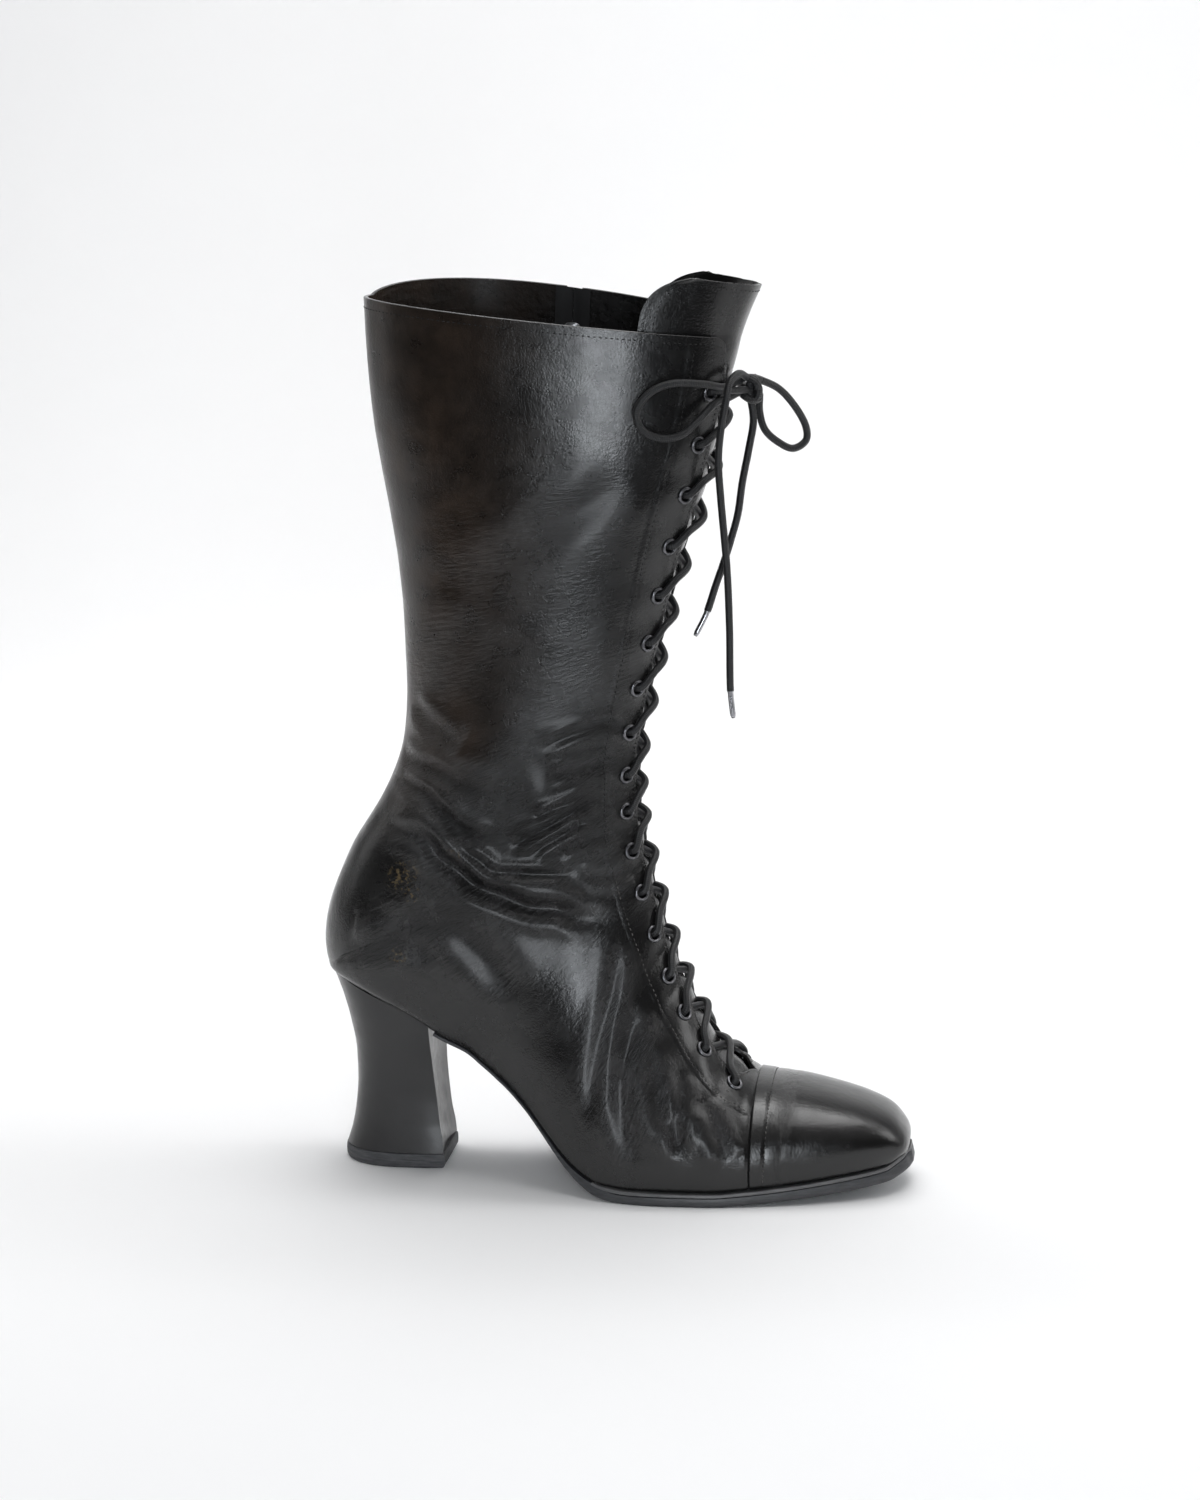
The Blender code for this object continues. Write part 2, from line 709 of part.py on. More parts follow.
def build_top_lift():
    ring = heel_ring(0.0, 0.0)
    middle = (ring[0][0] + ring[-1][0]) / 2
    levels = ((0.0, 0.985), (0.35, 1.02), (0.8, 1.02), (1.0, 1.0))
    rings = []
    for height, grow in levels:
        level = []
        for x, left, right, _ in ring:
            level.append((middle + (x - middle) * grow, left * grow, right * grow, height * LIFT_HEIGHT))
        rings.append(level)
    return paired("top_lift", rings, "heel rubber")


def eyelet_places(side):
    """Rows and turns of the eyelets, a fixed way in from the throat edge."""
    places = []
    for row in EYELET_ROWS:
        places.append((row, turn_at(row, side, throat(row) + EYELET_INSET)))
    return places


def around(centre, axis, first, profile, sides):
    """Closed ring of revolution. profile rows are radius and height."""
    second = axis.cross(first)
    points = []
    for k in range(sides):
        angle = 2 * math.pi * k / sides
        out = first * math.cos(angle) + second * math.sin(angle)
        for radius, height in profile:
            points.append(centre + out * radius + axis * height)
    count = len(profile)
    faces = []
    for k in range(sides):
        for j in range(count):
            a = k * count + j
            b = k * count + (j + 1) % count
            c = ((k + 1) % sides) * count + (j + 1) % count
            d = ((k + 1) % sides) * count + j
            faces.append((a, b, c, d))
    return points, faces


def eyelet_frame(side, place):
    centre, normal, up, _ = frame(place[0], side, place[1])
    up = (up - normal * up.dot(normal)).normalized()
    return centre + normal * STAY_STEP, normal, up


def build_eyelets(places):
    profile = (
        (EYELET_HOLE, -WALL),
        (EYELET_HOLE, 1.0),
        (EYELET_RADIUS, SEAM),
        (EYELET_BARREL, SEAM),
        (EYELET_BARREL, -WALL),
    )
    for side, label in ((-1, "lateral"), (1, "medial")):
        for n, place in enumerate(places[side]):
            centre, normal, up = eyelet_frame(side, place)
            points, faces = around(centre, normal, up, profile, 8)
            solid(f"eyelet_{label}_{n + 1:02d}", points, faces, "dark metal")


def eyelet_holes(places):
    radius = EYELET_BARREL + GAP + 0.1
    points = []
    faces = []
    for side in (-1, 1):
        for place in places[side]:
            centre, normal, up = eyelet_frame(side, place)
            across = normal.cross(up)
            start = len(points)
            for depth in (-3.2, 1.2):
                for k in range(8):
                    angle = 2 * math.pi * k / 8
                    out = up * math.cos(angle) + across * math.sin(angle)
                    points.append(centre + out * radius + normal * depth)
            for k in range(8):
                n = (k + 1) % 8
                faces.append((start + k, start + n, start + 8 + n, start + 8 + k))
            faces.append(tuple(start + k for k in reversed(range(8))))
            faces.append(tuple(start + 8 + k for k in range(8)))
    return cutter("eyelet_holes", points, faces)


def zip_rows(start, end):
    rows = [21.3, 22, 23, 24, 25, 26, 27, 28, 29, 30]
    return [start] + [row for row in rows if row < end - 0.3] + [end]


def swept(rows, outlines, turn):
    """Strip along the zip line. outlines are across and depth pairs."""
    points = []
    for row in rows:
        centre, normal, _, round_ = frame(row, 1, turn)
        for across, depth in outlines:
            points.append(centre + round_ * across + normal * depth)
    count = len(outlines)
    faces = []
    for i in range(len(rows) - 1):
        for j in range(count):
            a = i * count + j
            b = i * count + (j + 1) % count
            faces.append((b, a, a + count, b + count))
    last = (len(rows) - 1) * count
    faces.append(tuple(range(count)))
    faces.append(tuple(last + j for j in reversed(range(count))))
    return points, faces


def zip_slot():
    half = SLOT_WIDTH / 2
    box = ((-half, -3.6), (half, -3.6), (half, 2.0), (-half, 2.0))
    points, faces = swept(zip_rows(ZIP_FOOT - 0.1, COLLAR_ROW + 0.9), box, ZIP_AT)
    return cutter("zip_slot", points, faces)


def build_zip_chain():
    deep = -WALL - TAPE_DROP
    low = deep - TAPE_WALL
    tape = TAPE_WIDTH / 2
    teeth = CHAIN_WIDTH / 2
    profile = (
        (-tape, low), (tape, low), (tape, deep),
        (teeth, deep), (teeth, -0.5), (-teeth, -0.5), (-teeth, deep), (-tape, deep),
    )
    points, faces = swept(zip_rows(ZIP_FOOT, ZIP_HEAD), profile, ZIP_AT)
    return solid("zip_chain", points, faces, "zip metal")


def zip_top():
    return spot(ZIP_HEAD, 1, ZIP_AT)


def extruded(name, profile, half, centre, look):
    """Plate profile in the plane of y and z, thickened along x."""
    points = []
    for x in (-half, half):
        for y, z in profile:
            points.append(centre + Vector((x, y, z)))
    count = len(profile)
    faces = [tuple(range(count)), tuple(reversed(range(count, 2 * count)))]
    for j in range(count):
        k = (j + 1) % count
        faces.append((k, j, count + j, count + k))
    return solid(name, points, faces, look)


def build_zip_slider():
    back = -(WALL + TAPE_DROP + TAPE_WALL + 2 * GAP)
    profile = (
        (2.4, -7.0), (0.5, -7.0), (0.5, 0.8), (back, 0.8),
        (back, -7.0), (back - 1.1, -7.0), (back - 1.1, 3.2), (2.4, 3.2),
    )
    return extruded("zip_slider", profile, 2.6, zip_top(), "zip metal")


def build_zip_pull():
    pivot = zip_top() + Vector((0.0, 3.9, 1.6))
    profile = (
        (-0.6, 1.2), (0.6, 1.2), (0.6, -PULL_LENGTH), (-0.6, -PULL_LENGTH),
    )
    pull = extruded("zip_pull", profile, 2.6, Vector((0.0, 0.0, 0.0)), "zip metal")
    pull.location = pivot * MM
    return pull


def lace_anchor(side, place, inward, rise):
    centre, normal, up = eyelet_frame(side, place)
    across = normal.cross(up)
    if across.y * side > 0:
        across = -across
    return centre + across * inward + normal * rise


def tube(points, radius, sides):
    """Closed tube along points, for the crossings."""
    verts = []
    for i, point in enumerate(points):
        ahead = points[min(i + 1, len(points) - 1)] - points[max(i - 1, 0)]
        ahead.normalize()
        lift = Vector((1.0, 0.0, 0.35)).normalized()
        first = (lift - ahead * lift.dot(ahead)).normalized()
        second = ahead.cross(first)
        for k in range(sides):
            angle = 2 * math.pi * k / sides
            verts.append(point + (first * math.cos(angle) + second * math.sin(angle)) * radius)
    faces = []
    for i in range(len(points) - 1):
        for k in range(sides):
            a = i * sides + k
            b = i * sides + (k + 1) % sides
            faces.append((a, b, b + sides, a + sides))
    last = (len(points) - 1) * sides
    faces.append(tuple(reversed(range(sides))))
    faces.append(tuple(last + k for k in range(sides)))
    return verts, faces


def crossing_path(places, start, rise):
    points = []
    side = start
    for n in range(EYELETS - 1, -1, -1):
        anchor = lace_anchor(side, places[side][n], EYELET_RADIUS + 2.2, 2.4)
        if n == 0:
            anchor = points[-1].lerp(anchor, 0.6)
        points.append(anchor)
        if n > 0:
            here = places[side][n]
            there = places[-side][n - 1]
            row = (here[0] + there[0]) / 2
            points.append(offset(row, 1, 0.0, rise))
        side = -side
    return points


def build_crossings(places):
    radius = LACE / 2
    verts, faces = tube(crossing_path(places, -1, 1.9), radius, 4)
    crossings = solid("lace_crossings", verts, faces, "lace cotton")
    verts, faces = tube(crossing_path(places, 1, 2.7), radius, 4)
    other = cutter("lace_other_way", verts, faces)
    boolean(crossings, other, "UNION")
    return crossings


def cord(name, points, diameter):
    curve = bpy.data.curves.new(name, "CURVE")
    curve.dimensions = "3D"
    curve.bevel_depth = diameter / 2 * MM
    curve.bevel_resolution = 2
    curve.use_fill_caps = True
    path = curve.splines.new("POLY")
    smooth = eased(points, diameter * 2.6)
    path.points.add(len(smooth) - 1)
    for place, point in zip(path.points, smooth):
        place.co = (point[0] * MM, point[1] * MM, point[2] * MM, 1.0)
    thing = bpy.data.objects.new(name, curve)
    bpy.context.scene.collection.objects.link(thing)
    curve.materials.append(material("lace cotton", name))
    return thing


def eased(points, step):
    """Points about one step apart on a smooth curve through the given ones."""
    fine = []
    last = len(points) - 1
    for i in range(last):
        four = [Vector(points[max(0, min(last, k))]) for k in (i - 1, i, i + 1, i + 2)]
        a, b, c, d = four
        for n in range(10):
            f = n / 10
            fine.append(eased_value(f, a, b, c, d))
    fine.append(Vector(points[-1]))
    runs = [0.0]
    for k in range(len(fine) - 1):
        runs.append(runs[-1] + (fine[k + 1] - fine[k]).length)
    count = max(2, round(runs[-1] / step))
    picked = []
    for n in range(count + 1):
        target = runs[-1] * n / count
        picked.append(fine[min(range(len(runs)), key=lambda i: abs(runs[i] - target))])
    return picked


def build_bow():
    cord("lace_knot", KNOT, 6.4)
    cord("lace_loop_lateral", LOOP_LATERAL, LACE)
    cord("lace_loop_medial", LOOP_MEDIAL, LACE)
    cord("lace_end_lateral", END_LATERAL, LACE)
    cord("lace_end_medial", END_MEDIAL, LACE)


def settle():
    """Put the middle of the solids over the origin and the lowest at zero."""
    bpy.context.view_layer.update()
    corners = []
    things = [t for t in bpy.context.scene.objects if t.type == "MESH" and not t.hide_render]
    for thing in things:
        corners += [thing.matrix_world @ vertex.co for vertex in thing.data.vertices]
    low = [min(c[k] for c in corners) for k in range(3)]
    high = [max(c[k] for c in corners) for k in range(3)]
    shift = Vector((-(low[0] + high[0]) / 2, -(low[1] + high[1]) / 2, -low[2]))
    for thing in bpy.context.scene.objects:
        thing.location += shift


def main():
    clear_scene()
    places = {side: eyelet_places(side) for side in (-1, 1)}
    upper = build_upper()
    boolean(upper, eyelet_holes(places), "DIFFERENCE")
    boolean(upper, zip_slot(), "DIFFERENCE")
    build_toe_cap()
    build_tongue()
    build_insole()
    build_midsole()
    build_outsole()
    build_heel()
    build_top_lift()
    build_zip_chain()
    build_zip_slider()
    build_zip_pull()
    build_eyelets(places)
    build_crossings(places)
    build_bow()
    settle()


main()
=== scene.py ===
import json
import math

import bmesh
import bpy
import numpy as np
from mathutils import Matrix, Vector


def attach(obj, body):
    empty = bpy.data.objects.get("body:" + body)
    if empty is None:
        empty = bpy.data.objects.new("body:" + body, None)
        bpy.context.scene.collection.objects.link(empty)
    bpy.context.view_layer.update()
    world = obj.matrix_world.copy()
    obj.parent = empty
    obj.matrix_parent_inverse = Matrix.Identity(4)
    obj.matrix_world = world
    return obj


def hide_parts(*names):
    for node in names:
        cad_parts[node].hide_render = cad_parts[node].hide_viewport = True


# The boot is worked out in millimetres, from the same sizes and tables as its
# solids, and becomes metres where a mesh is made.
MM = 0.001
LENGTH = 254.0
HEIGHT = 372.0
BALL = 90.0
SOLE = 6.2
WALL = 1.8
SEAM = 0.5
CAP_WALL = 1.2
TONGUE_WALL = 1.4
STAY_STEP = 0.3
STAY_RAMP = 0.4
STAY_WIDTH = 20.5
COLLAR_CORNER = 9.0
COLLAR_SPACING = 19.0
TONGUE_DROP = 2.3
TONGUE_FOOT = 20.0
TONGUE_TOP = 52.0
TONGUE_ROUND = 20.0
TONGUE_RISE = 0.95
TONGUE_LEAN = 4.0
TONGUE_TIP = 5.0
MIDSOLE_WALL = 1.4
LIFT_HEIGHT = 6.3
EYELET_RADIUS = 3.75
EYELET_HOLE = 2.3
EYELET_BARREL = 2.6
EYELET_INSET = 7.5
LACE = 3.1
LACE_OVER = 1.7
LACE_UNDER = -0.9
LACE_BEHIND = 3.5

# Radius of the leather's holes behind the eyelets, before and after rounding
HOLE_CLEAR = 2.2
HOLE_EDGE = 2.8

# Lace tips, zip, seam stitches and the distance at which points are joined
TIP_LENGTH = 13.0
SLOT_WIDTH = 7.0
ZIP_AT = 0.93
PULL_LENGTH = 22.0
PIVOT_AWAY = (0.0, 3.9, 1.6)
TOOTH_PITCH = 1.5
STITCH_PITCH = 2.3
STITCH_LONG = 1.55
STITCH_THICK = 0.24
STITCH_SINK = 0.06
SEAM_INSET = 1.9
WELD = 0.001

# Places as rows of the sections, from the toe up to the collar
CAP_CREASE = 6.12
CAP_STITCH = 6.53
CAP_ROW = 7
HEEL_ROW = 20
ZIP_FOOT = 20.7
ZIP_HEAD = 31.68
HEM_ROW = 31.86
COLLAR_ROW = 32

# Columns of the grid of each side: eyestay, its step, and the face behind it,
# which the zip slot divides on the inner side
OUTER_COLUMNS = (18, 1, 90)
INNER_COLUMNS = (18, 1, 30, 4, 56)
SLOT_FIRST = sum(INNER_COLUMNS[:3])
SLOT_LAST = sum(INNER_COLUMNS[:4])
TONGUE_COLUMNS = 26

# Points on each side of the heel's section, back to breast
HEEL_POINTS = 34

# Camera, fitted to the outline of the boot: degrees, millimetres and the lens
# for a frame of 36 mm
CAMERA_YAW = 8.0
CAMERA_PITCH = 11.9
CAMERA_AWAY = 1300.0
CAMERA_HEIGHT = 458.0
CAMERA_SIDE = -8.0
CAMERA_BACK = 5.0
CAMERA_LENS = 75.9

# Lamps in metres and watts: place, target, width and height, power, colour
WHITE = (1.0, 1.0, 1.0)
LAMPS = (
    ("window", (0.32, -1.6, 0.30), (0.0, 0.0, 0.20), (0.30, 0.95), 12.0, (0.90, 0.95, 1.0)),
    ("left", (-1.5, 0.1, 0.8), (0.0, 0.0, 0.2), (0.6, 1.2), 2.0, WHITE),
    ("right", (1.5, 0.2, 0.9), (0.0, 0.0, 0.12), (0.5, 0.9), 5.0, WHITE),
    ("top", (0.1, 0.25, 1.8), (0.0, 0.1, 0.1), (1.6, 1.0), 16.5, WHITE),
    ("wall", (0.0, 0.5, 1.9), (0.0, 1.7, 0.9), (3.0, 0.6), 23.0, WHITE),
)

# Sections of the upper. Each runs from a point on the front line to one on the
# feather line or the back seam. x in LENGTH from the heel, z in HEIGHT, y and
# half widths in BALL. wide_at is the share of the way from base to front where
# the section is widest, top and low are how square its two arcs are.
SECTIONS = (
    ("front_x", "front_z", "front_y", "base_x", "base_z", "outer", "inner", "wide_at", "top", "low", "gap"),
    (0.992, 0.045, -0.039, 0.982, None, 0.182, 0.107, 0.35, 2.3, 2.0, 0.000),
    (0.993, 0.058, -0.039, 0.970, None, 0.239, 0.164, 0.20, 2.6, 2.0, 0.000),
    (0.983, 0.071, -0.039, 0.953, None, 0.284, 0.212, 0.20, 2.6, 2.0, 0.000),
    (0.961, 0.086, -0.039, 0.925, None, 0.336, 0.266, 0.20, 2.5, 2.0, 0.000),
    (0.921, 0.098, -0.038, 0.886, None, 0.389, 0.317, 0.20, 2.4, 2.0, 0.000),
    (0.866, 0.108, -0.035, 0.839, None, 0.439, 0.361, 0.21, 2.3, 2.0, 0.000),
    (0.803, 0.117, -0.031, 0.787, None, 0.480, 0.393, 0.22, 2.2, 2.0, 0.000),
    (0.734, 0.122, -0.024, 0.734, None, 0.520, 0.417, 0.22, 2.1, 2.0, 0.000),
    (0.709, 0.134, -0.020, 0.685, None, 0.544, 0.422, 0.21, 2.0, 2.0, 0.165),
    (0.681, 0.153, -0.013, 0.634, None, 0.559, 0.414, 0.20, 1.95, 2.0, 0.170),
    (0.656, 0.180, -0.007, 0.575, None, 0.560, 0.393, 0.18, 1.85, 2.0, 0.165),
    (0.630, 0.215, 0.000, 0.512, None, 0.542, 0.353, 0.17, 1.75, 2.0, 0.138),
    (0.608, 0.247, 0.000, 0.453, None, 0.503, 0.324, 0.18, 1.70, 2.0, 0.118),
    (0.589, 0.282, 0.000, 0.398, None, 0.461, 0.311, 0.22, 1.70, 2.0, 0.102),
    (0.573, 0.320, 0.000, 0.335, None, 0.417, 0.311, 0.28, 1.75, 2.0, 0.096),
    (0.561, 0.352, 0.000, 0.272, None, 0.391, 0.317, 0.32, 1.80, 2.0, 0.094),
    (0.551, 0.382, 0.000, 0.201, None, 0.380, 0.328, 0.35, 1.85, 2.1, 0.090),
    (0.544, 0.406, 0.000, 0.126, None, 0.373, 0.338, 0.37, 1.90, 2.2, 0.084),
    (0.539, 0.425, 0.000, 0.059, None, 0.369, 0.344, 0.39, 1.95, 2.3, 0.078),
    (0.537, 0.441, 0.000, 0.022, None, 0.367, 0.348, 0.40, 2.00, 2.4, 0.073),
    (0.535, 0.457, 0.000, 0.003, 0.238, 0.364, 0.350, 0.42, 2.00, 2.4, 0.070),
    (0.534, 0.473, 0.000, -0.002, 0.272, 0.361, 0.350, 0.43, 2.05, 2.3, 0.070),
    (0.537, 0.495, 0.000, 0.010, 0.317, 0.356, 0.349, 0.44, 2.05, 2.2, 0.076),
    (0.543, 0.522, 0.000, 0.047, 0.376, 0.344, 0.344, 0.45, 2.05, 2.2, 0.088),
    (0.553, 0.557, 0.000, 0.098, 0.433, 0.339, 0.339, 0.46, 2.10, 2.1, 0.098),
    (0.565, 0.597, 0.000, 0.132, 0.492, 0.340, 0.340, 0.46, 2.10, 2.1, 0.102),
    (0.581, 0.643, 0.000, 0.142, 0.557, 0.351, 0.351, 0.46, 2.10, 2.1, 0.104),
    (0.598, 0.691, 0.000, 0.140, 0.626, 0.369, 0.369, 0.46, 2.10, 2.1, 0.114),
    (0.620, 0.742, 0.000, 0.132, 0.702, 0.389, 0.389, 0.46, 2.10, 2.1, 0.130),
    (0.646, 0.796, 0.000, 0.114, 0.777, 0.407, 0.407, 0.46, 2.15, 2.1, 0.145),
    (0.665, 0.852, 0.000, 0.096, 0.849, 0.418, 0.418, 0.46, 2.20, 2.1, 0.142),
    (0.677, 0.909, 0.000, 0.085, 0.925, 0.423, 0.423, 0.46, 2.20, 2.1, 0.118),
    (0.685, 0.960, 0.000, 0.079, 1.000, 0.427, 0.427, 0.46, 2.20, 2.1, 0.105),
    (0.700, 1.021, 0.000, 0.072, 1.075, 0.429, 0.429, 0.46, 2.20, 2.1, 0.105),
)

# Underside of the sole: x in LENGTH, z in HEIGHT, edge thickness in SOLE
UNDERSIDE = (
    ("x", "z", "edge"),
    (0.185, 0.1690, 0.33),
    (0.217, 0.1580, 0.33),
    (0.252, 0.1476, 0.31),
    (0.278, 0.1344, 0.29),
    (0.306, 0.1199, 0.29),
    (0.331, 0.1059, 0.28),
    (0.362, 0.0860, 0.28),
    (0.382, 0.0704, 0.28),
    (0.398, 0.0570, 0.31),
    (0.419, 0.0398, 0.39),
    (0.435, 0.0282, 0.48),
    (0.455, 0.0164, 0.63),
    (0.483, 0.0054, 0.82),
    (0.514, 0.0009, 0.89),
    (0.535, 0.0000, 0.89),
    (0.677, 0.0000, 0.89),
    (0.724, 0.0019, 0.90),
    (0.814, 0.0067, 0.95),
    (0.868, 0.0105, 0.98),
    (0.916, 0.0140, 1.00),
    (0.964, 0.0185, 1.00),
    (0.986, 0.0239, 1.00),
    (1.000, 0.0285, 1.00),
)

# Line of the heel seat behind the breast: x in LENGTH, z in HEIGHT
SEAT = (
    ("x", "z"),
    (0.000, 0.2395),
    (0.047, 0.2260),
    (0.094, 0.2110),
    (0.138, 0.1968),
    (0.177, 0.1815),
    (0.189, 0.1765),
)
BREAST = 0.189

# Rows of the eyelets, top to bottom
EYELET_ROWS = (
    30.88, 29.89, 28.92, 27.87, 26.80, 25.70, 24.55, 23.20, 21.29,
    18.80, 16.55, 14.97, 13.60, 12.35, 11.12, 9.90, 8.15,
)
EYELETS = len(EYELET_ROWS)

# Edge of the sole and the heel seat in plan: x in LENGTH, sides in BALL
OUTLINE = (
    ("x", "outer", "inner"),
    (0.000, 0.020, 0.020),
    (0.005, 0.060, 0.060),
    (0.014, 0.120, 0.120),
    (0.035, 0.186, 0.180),
    (0.075, 0.240, 0.230),
    (0.126, 0.266, 0.250),
    (0.185, 0.266, 0.233),
    (0.224, 0.270, 0.216),
    (0.264, 0.280, 0.205),
    (0.323, 0.322, 0.203),
    (0.382, 0.404, 0.228),
    (0.441, 0.488, 0.272),
    (0.500, 0.548, 0.328),
    (0.579, 0.572, 0.394),
    (0.657, 0.561, 0.428),
    (0.736, 0.524, 0.422),
    (0.815, 0.467, 0.386),
    (0.874, 0.411, 0.341),
    (0.921, 0.353, 0.283),
    (0.961, 0.286, 0.211),
    (0.982, 0.222, 0.147),
    (0.994, 0.167, 0.094),
    (1.000, 0.100, 0.028),
)

# How far the sole stands out past the upper: x in LENGTH, ledge in SOLE
LEDGE = (
    ("x", "ledge"),
    (0.000, 0.00),
    (0.200, 0.02),
    (0.270, 0.15),
    (0.390, 0.18),
    (0.500, 0.34),
    (0.600, 0.40),
    (1.000, 0.40),
)

# Where the sole and the midsole end at the back: x in LENGTH
SOLE_BACK = 0.195
MIDSOLE_BACK = 0.4685

# Heel block, floor to seat: height share of the block, back and breast x in
# LENGTH, half widths in BALL
HEEL = (
    ("height", "back", "breast", "half"),
    (0.00, 0.0290, 0.2065, 0.200),
    (0.09, 0.0375, 0.2050, 0.193),
    (0.22, 0.0445, 0.2000, 0.184),
    (0.38, 0.0485, 0.1960, 0.180),
    (0.55, 0.0470, 0.1920, 0.190),
    (0.72, 0.0380, 0.1890, 0.212),
    (0.87, 0.0250, 0.1870, 0.240),
    (1.00, 0.0080, 0.1860, 0.262),
)

# Cords of the bow, listed points: x, y, z in millimetres
KNOT_CENTRE = (54.2, 0.0, 335.8)
KNOT_STRANDS = (
    ((49.4, -2.4, 339.7), (51.6, -3.4, 340.6), (54.4, -2.6, 340.6), (56.2, 0.0, 340.0), (57.0, 2.0, 339.5)),
    ((49.4, -2.4, 334.9), (51.6, -3.6, 333.0), (54.4, -2.4, 331.4), (56.6, 0.6, 331.6), (56.95, 3.3, 333.4)),
    ((52.4, -3.8, 340.8), (55.6, -3.4, 339.2), (57.2, -2.4, 336.0), (56.2, -1.2, 332.6), (53.5, 0.8, 331.5)),
)
LOOP_LATERAL = (
    (49.5, -2.4, 339.7), (43.9, -15.2, 337.8), (37.6, -26.6, 339.9), (25.4, -34.0, 340.7),
    (16.7, -36.8, 337.2), (11.5, -38.5, 330.0), (13.4, -37.5, 322.6), (20.3, -34.5, 318.8),
    (28.3, -31.0, 319.7), (34.6, -26.5, 325.0), (40.4, -20.6, 331.2), (44.8, -12.0, 332.8),
    (49.5, -2.4, 334.9),
)
LOOP_MEDIAL = (
    (57.0, 2.0, 339.5), (64.1, 8.0, 335.5), (70.0, 12.0, 328.8), (74.8, 16.0, 320.0),
    (75.2, 17.0, 313.3), (70.0, 15.0, 310.0), (64.1, 11.0, 313.0), (59.0, 6.5, 318.5),
    (56.9, 4.6, 326.0), (57.0, 3.4, 333.2),
)
END_LATERAL = (
    (52.4, -3.85, 340.8), (49.6, -11.6, 343.0), (46.8, -19.8, 339.8), (45.4, -23.0, 331.0),
    (43.6, -21.5, 321.0), (42.4, -18.5, 307.8), (43.3, -16.0, 291.6), (44.7, -14.0, 275.3),
    (45.9, -12.0, 259.0), (46.7, -10.0, 236.8), (47.1, -9.0, 213.0), (48.4, -8.0, 200.0),
)
END_MEDIAL = (
    (53.5, 0.8, 331.6), (54.6, 2.0, 322.4), (52.9, 2.0, 311.3), (50.3, 2.0, 297.2),
    (48.6, 2.0, 284.3), (45.8, 2.0, 273.4), (42.5, 2.0, 262.5), (39.6, 1.0, 253.8),
    (36.2, 0.0, 242.9), (31.5, -1.5, 233.0),
)

# Factor on the depth of every crease
FOLD = 1.45

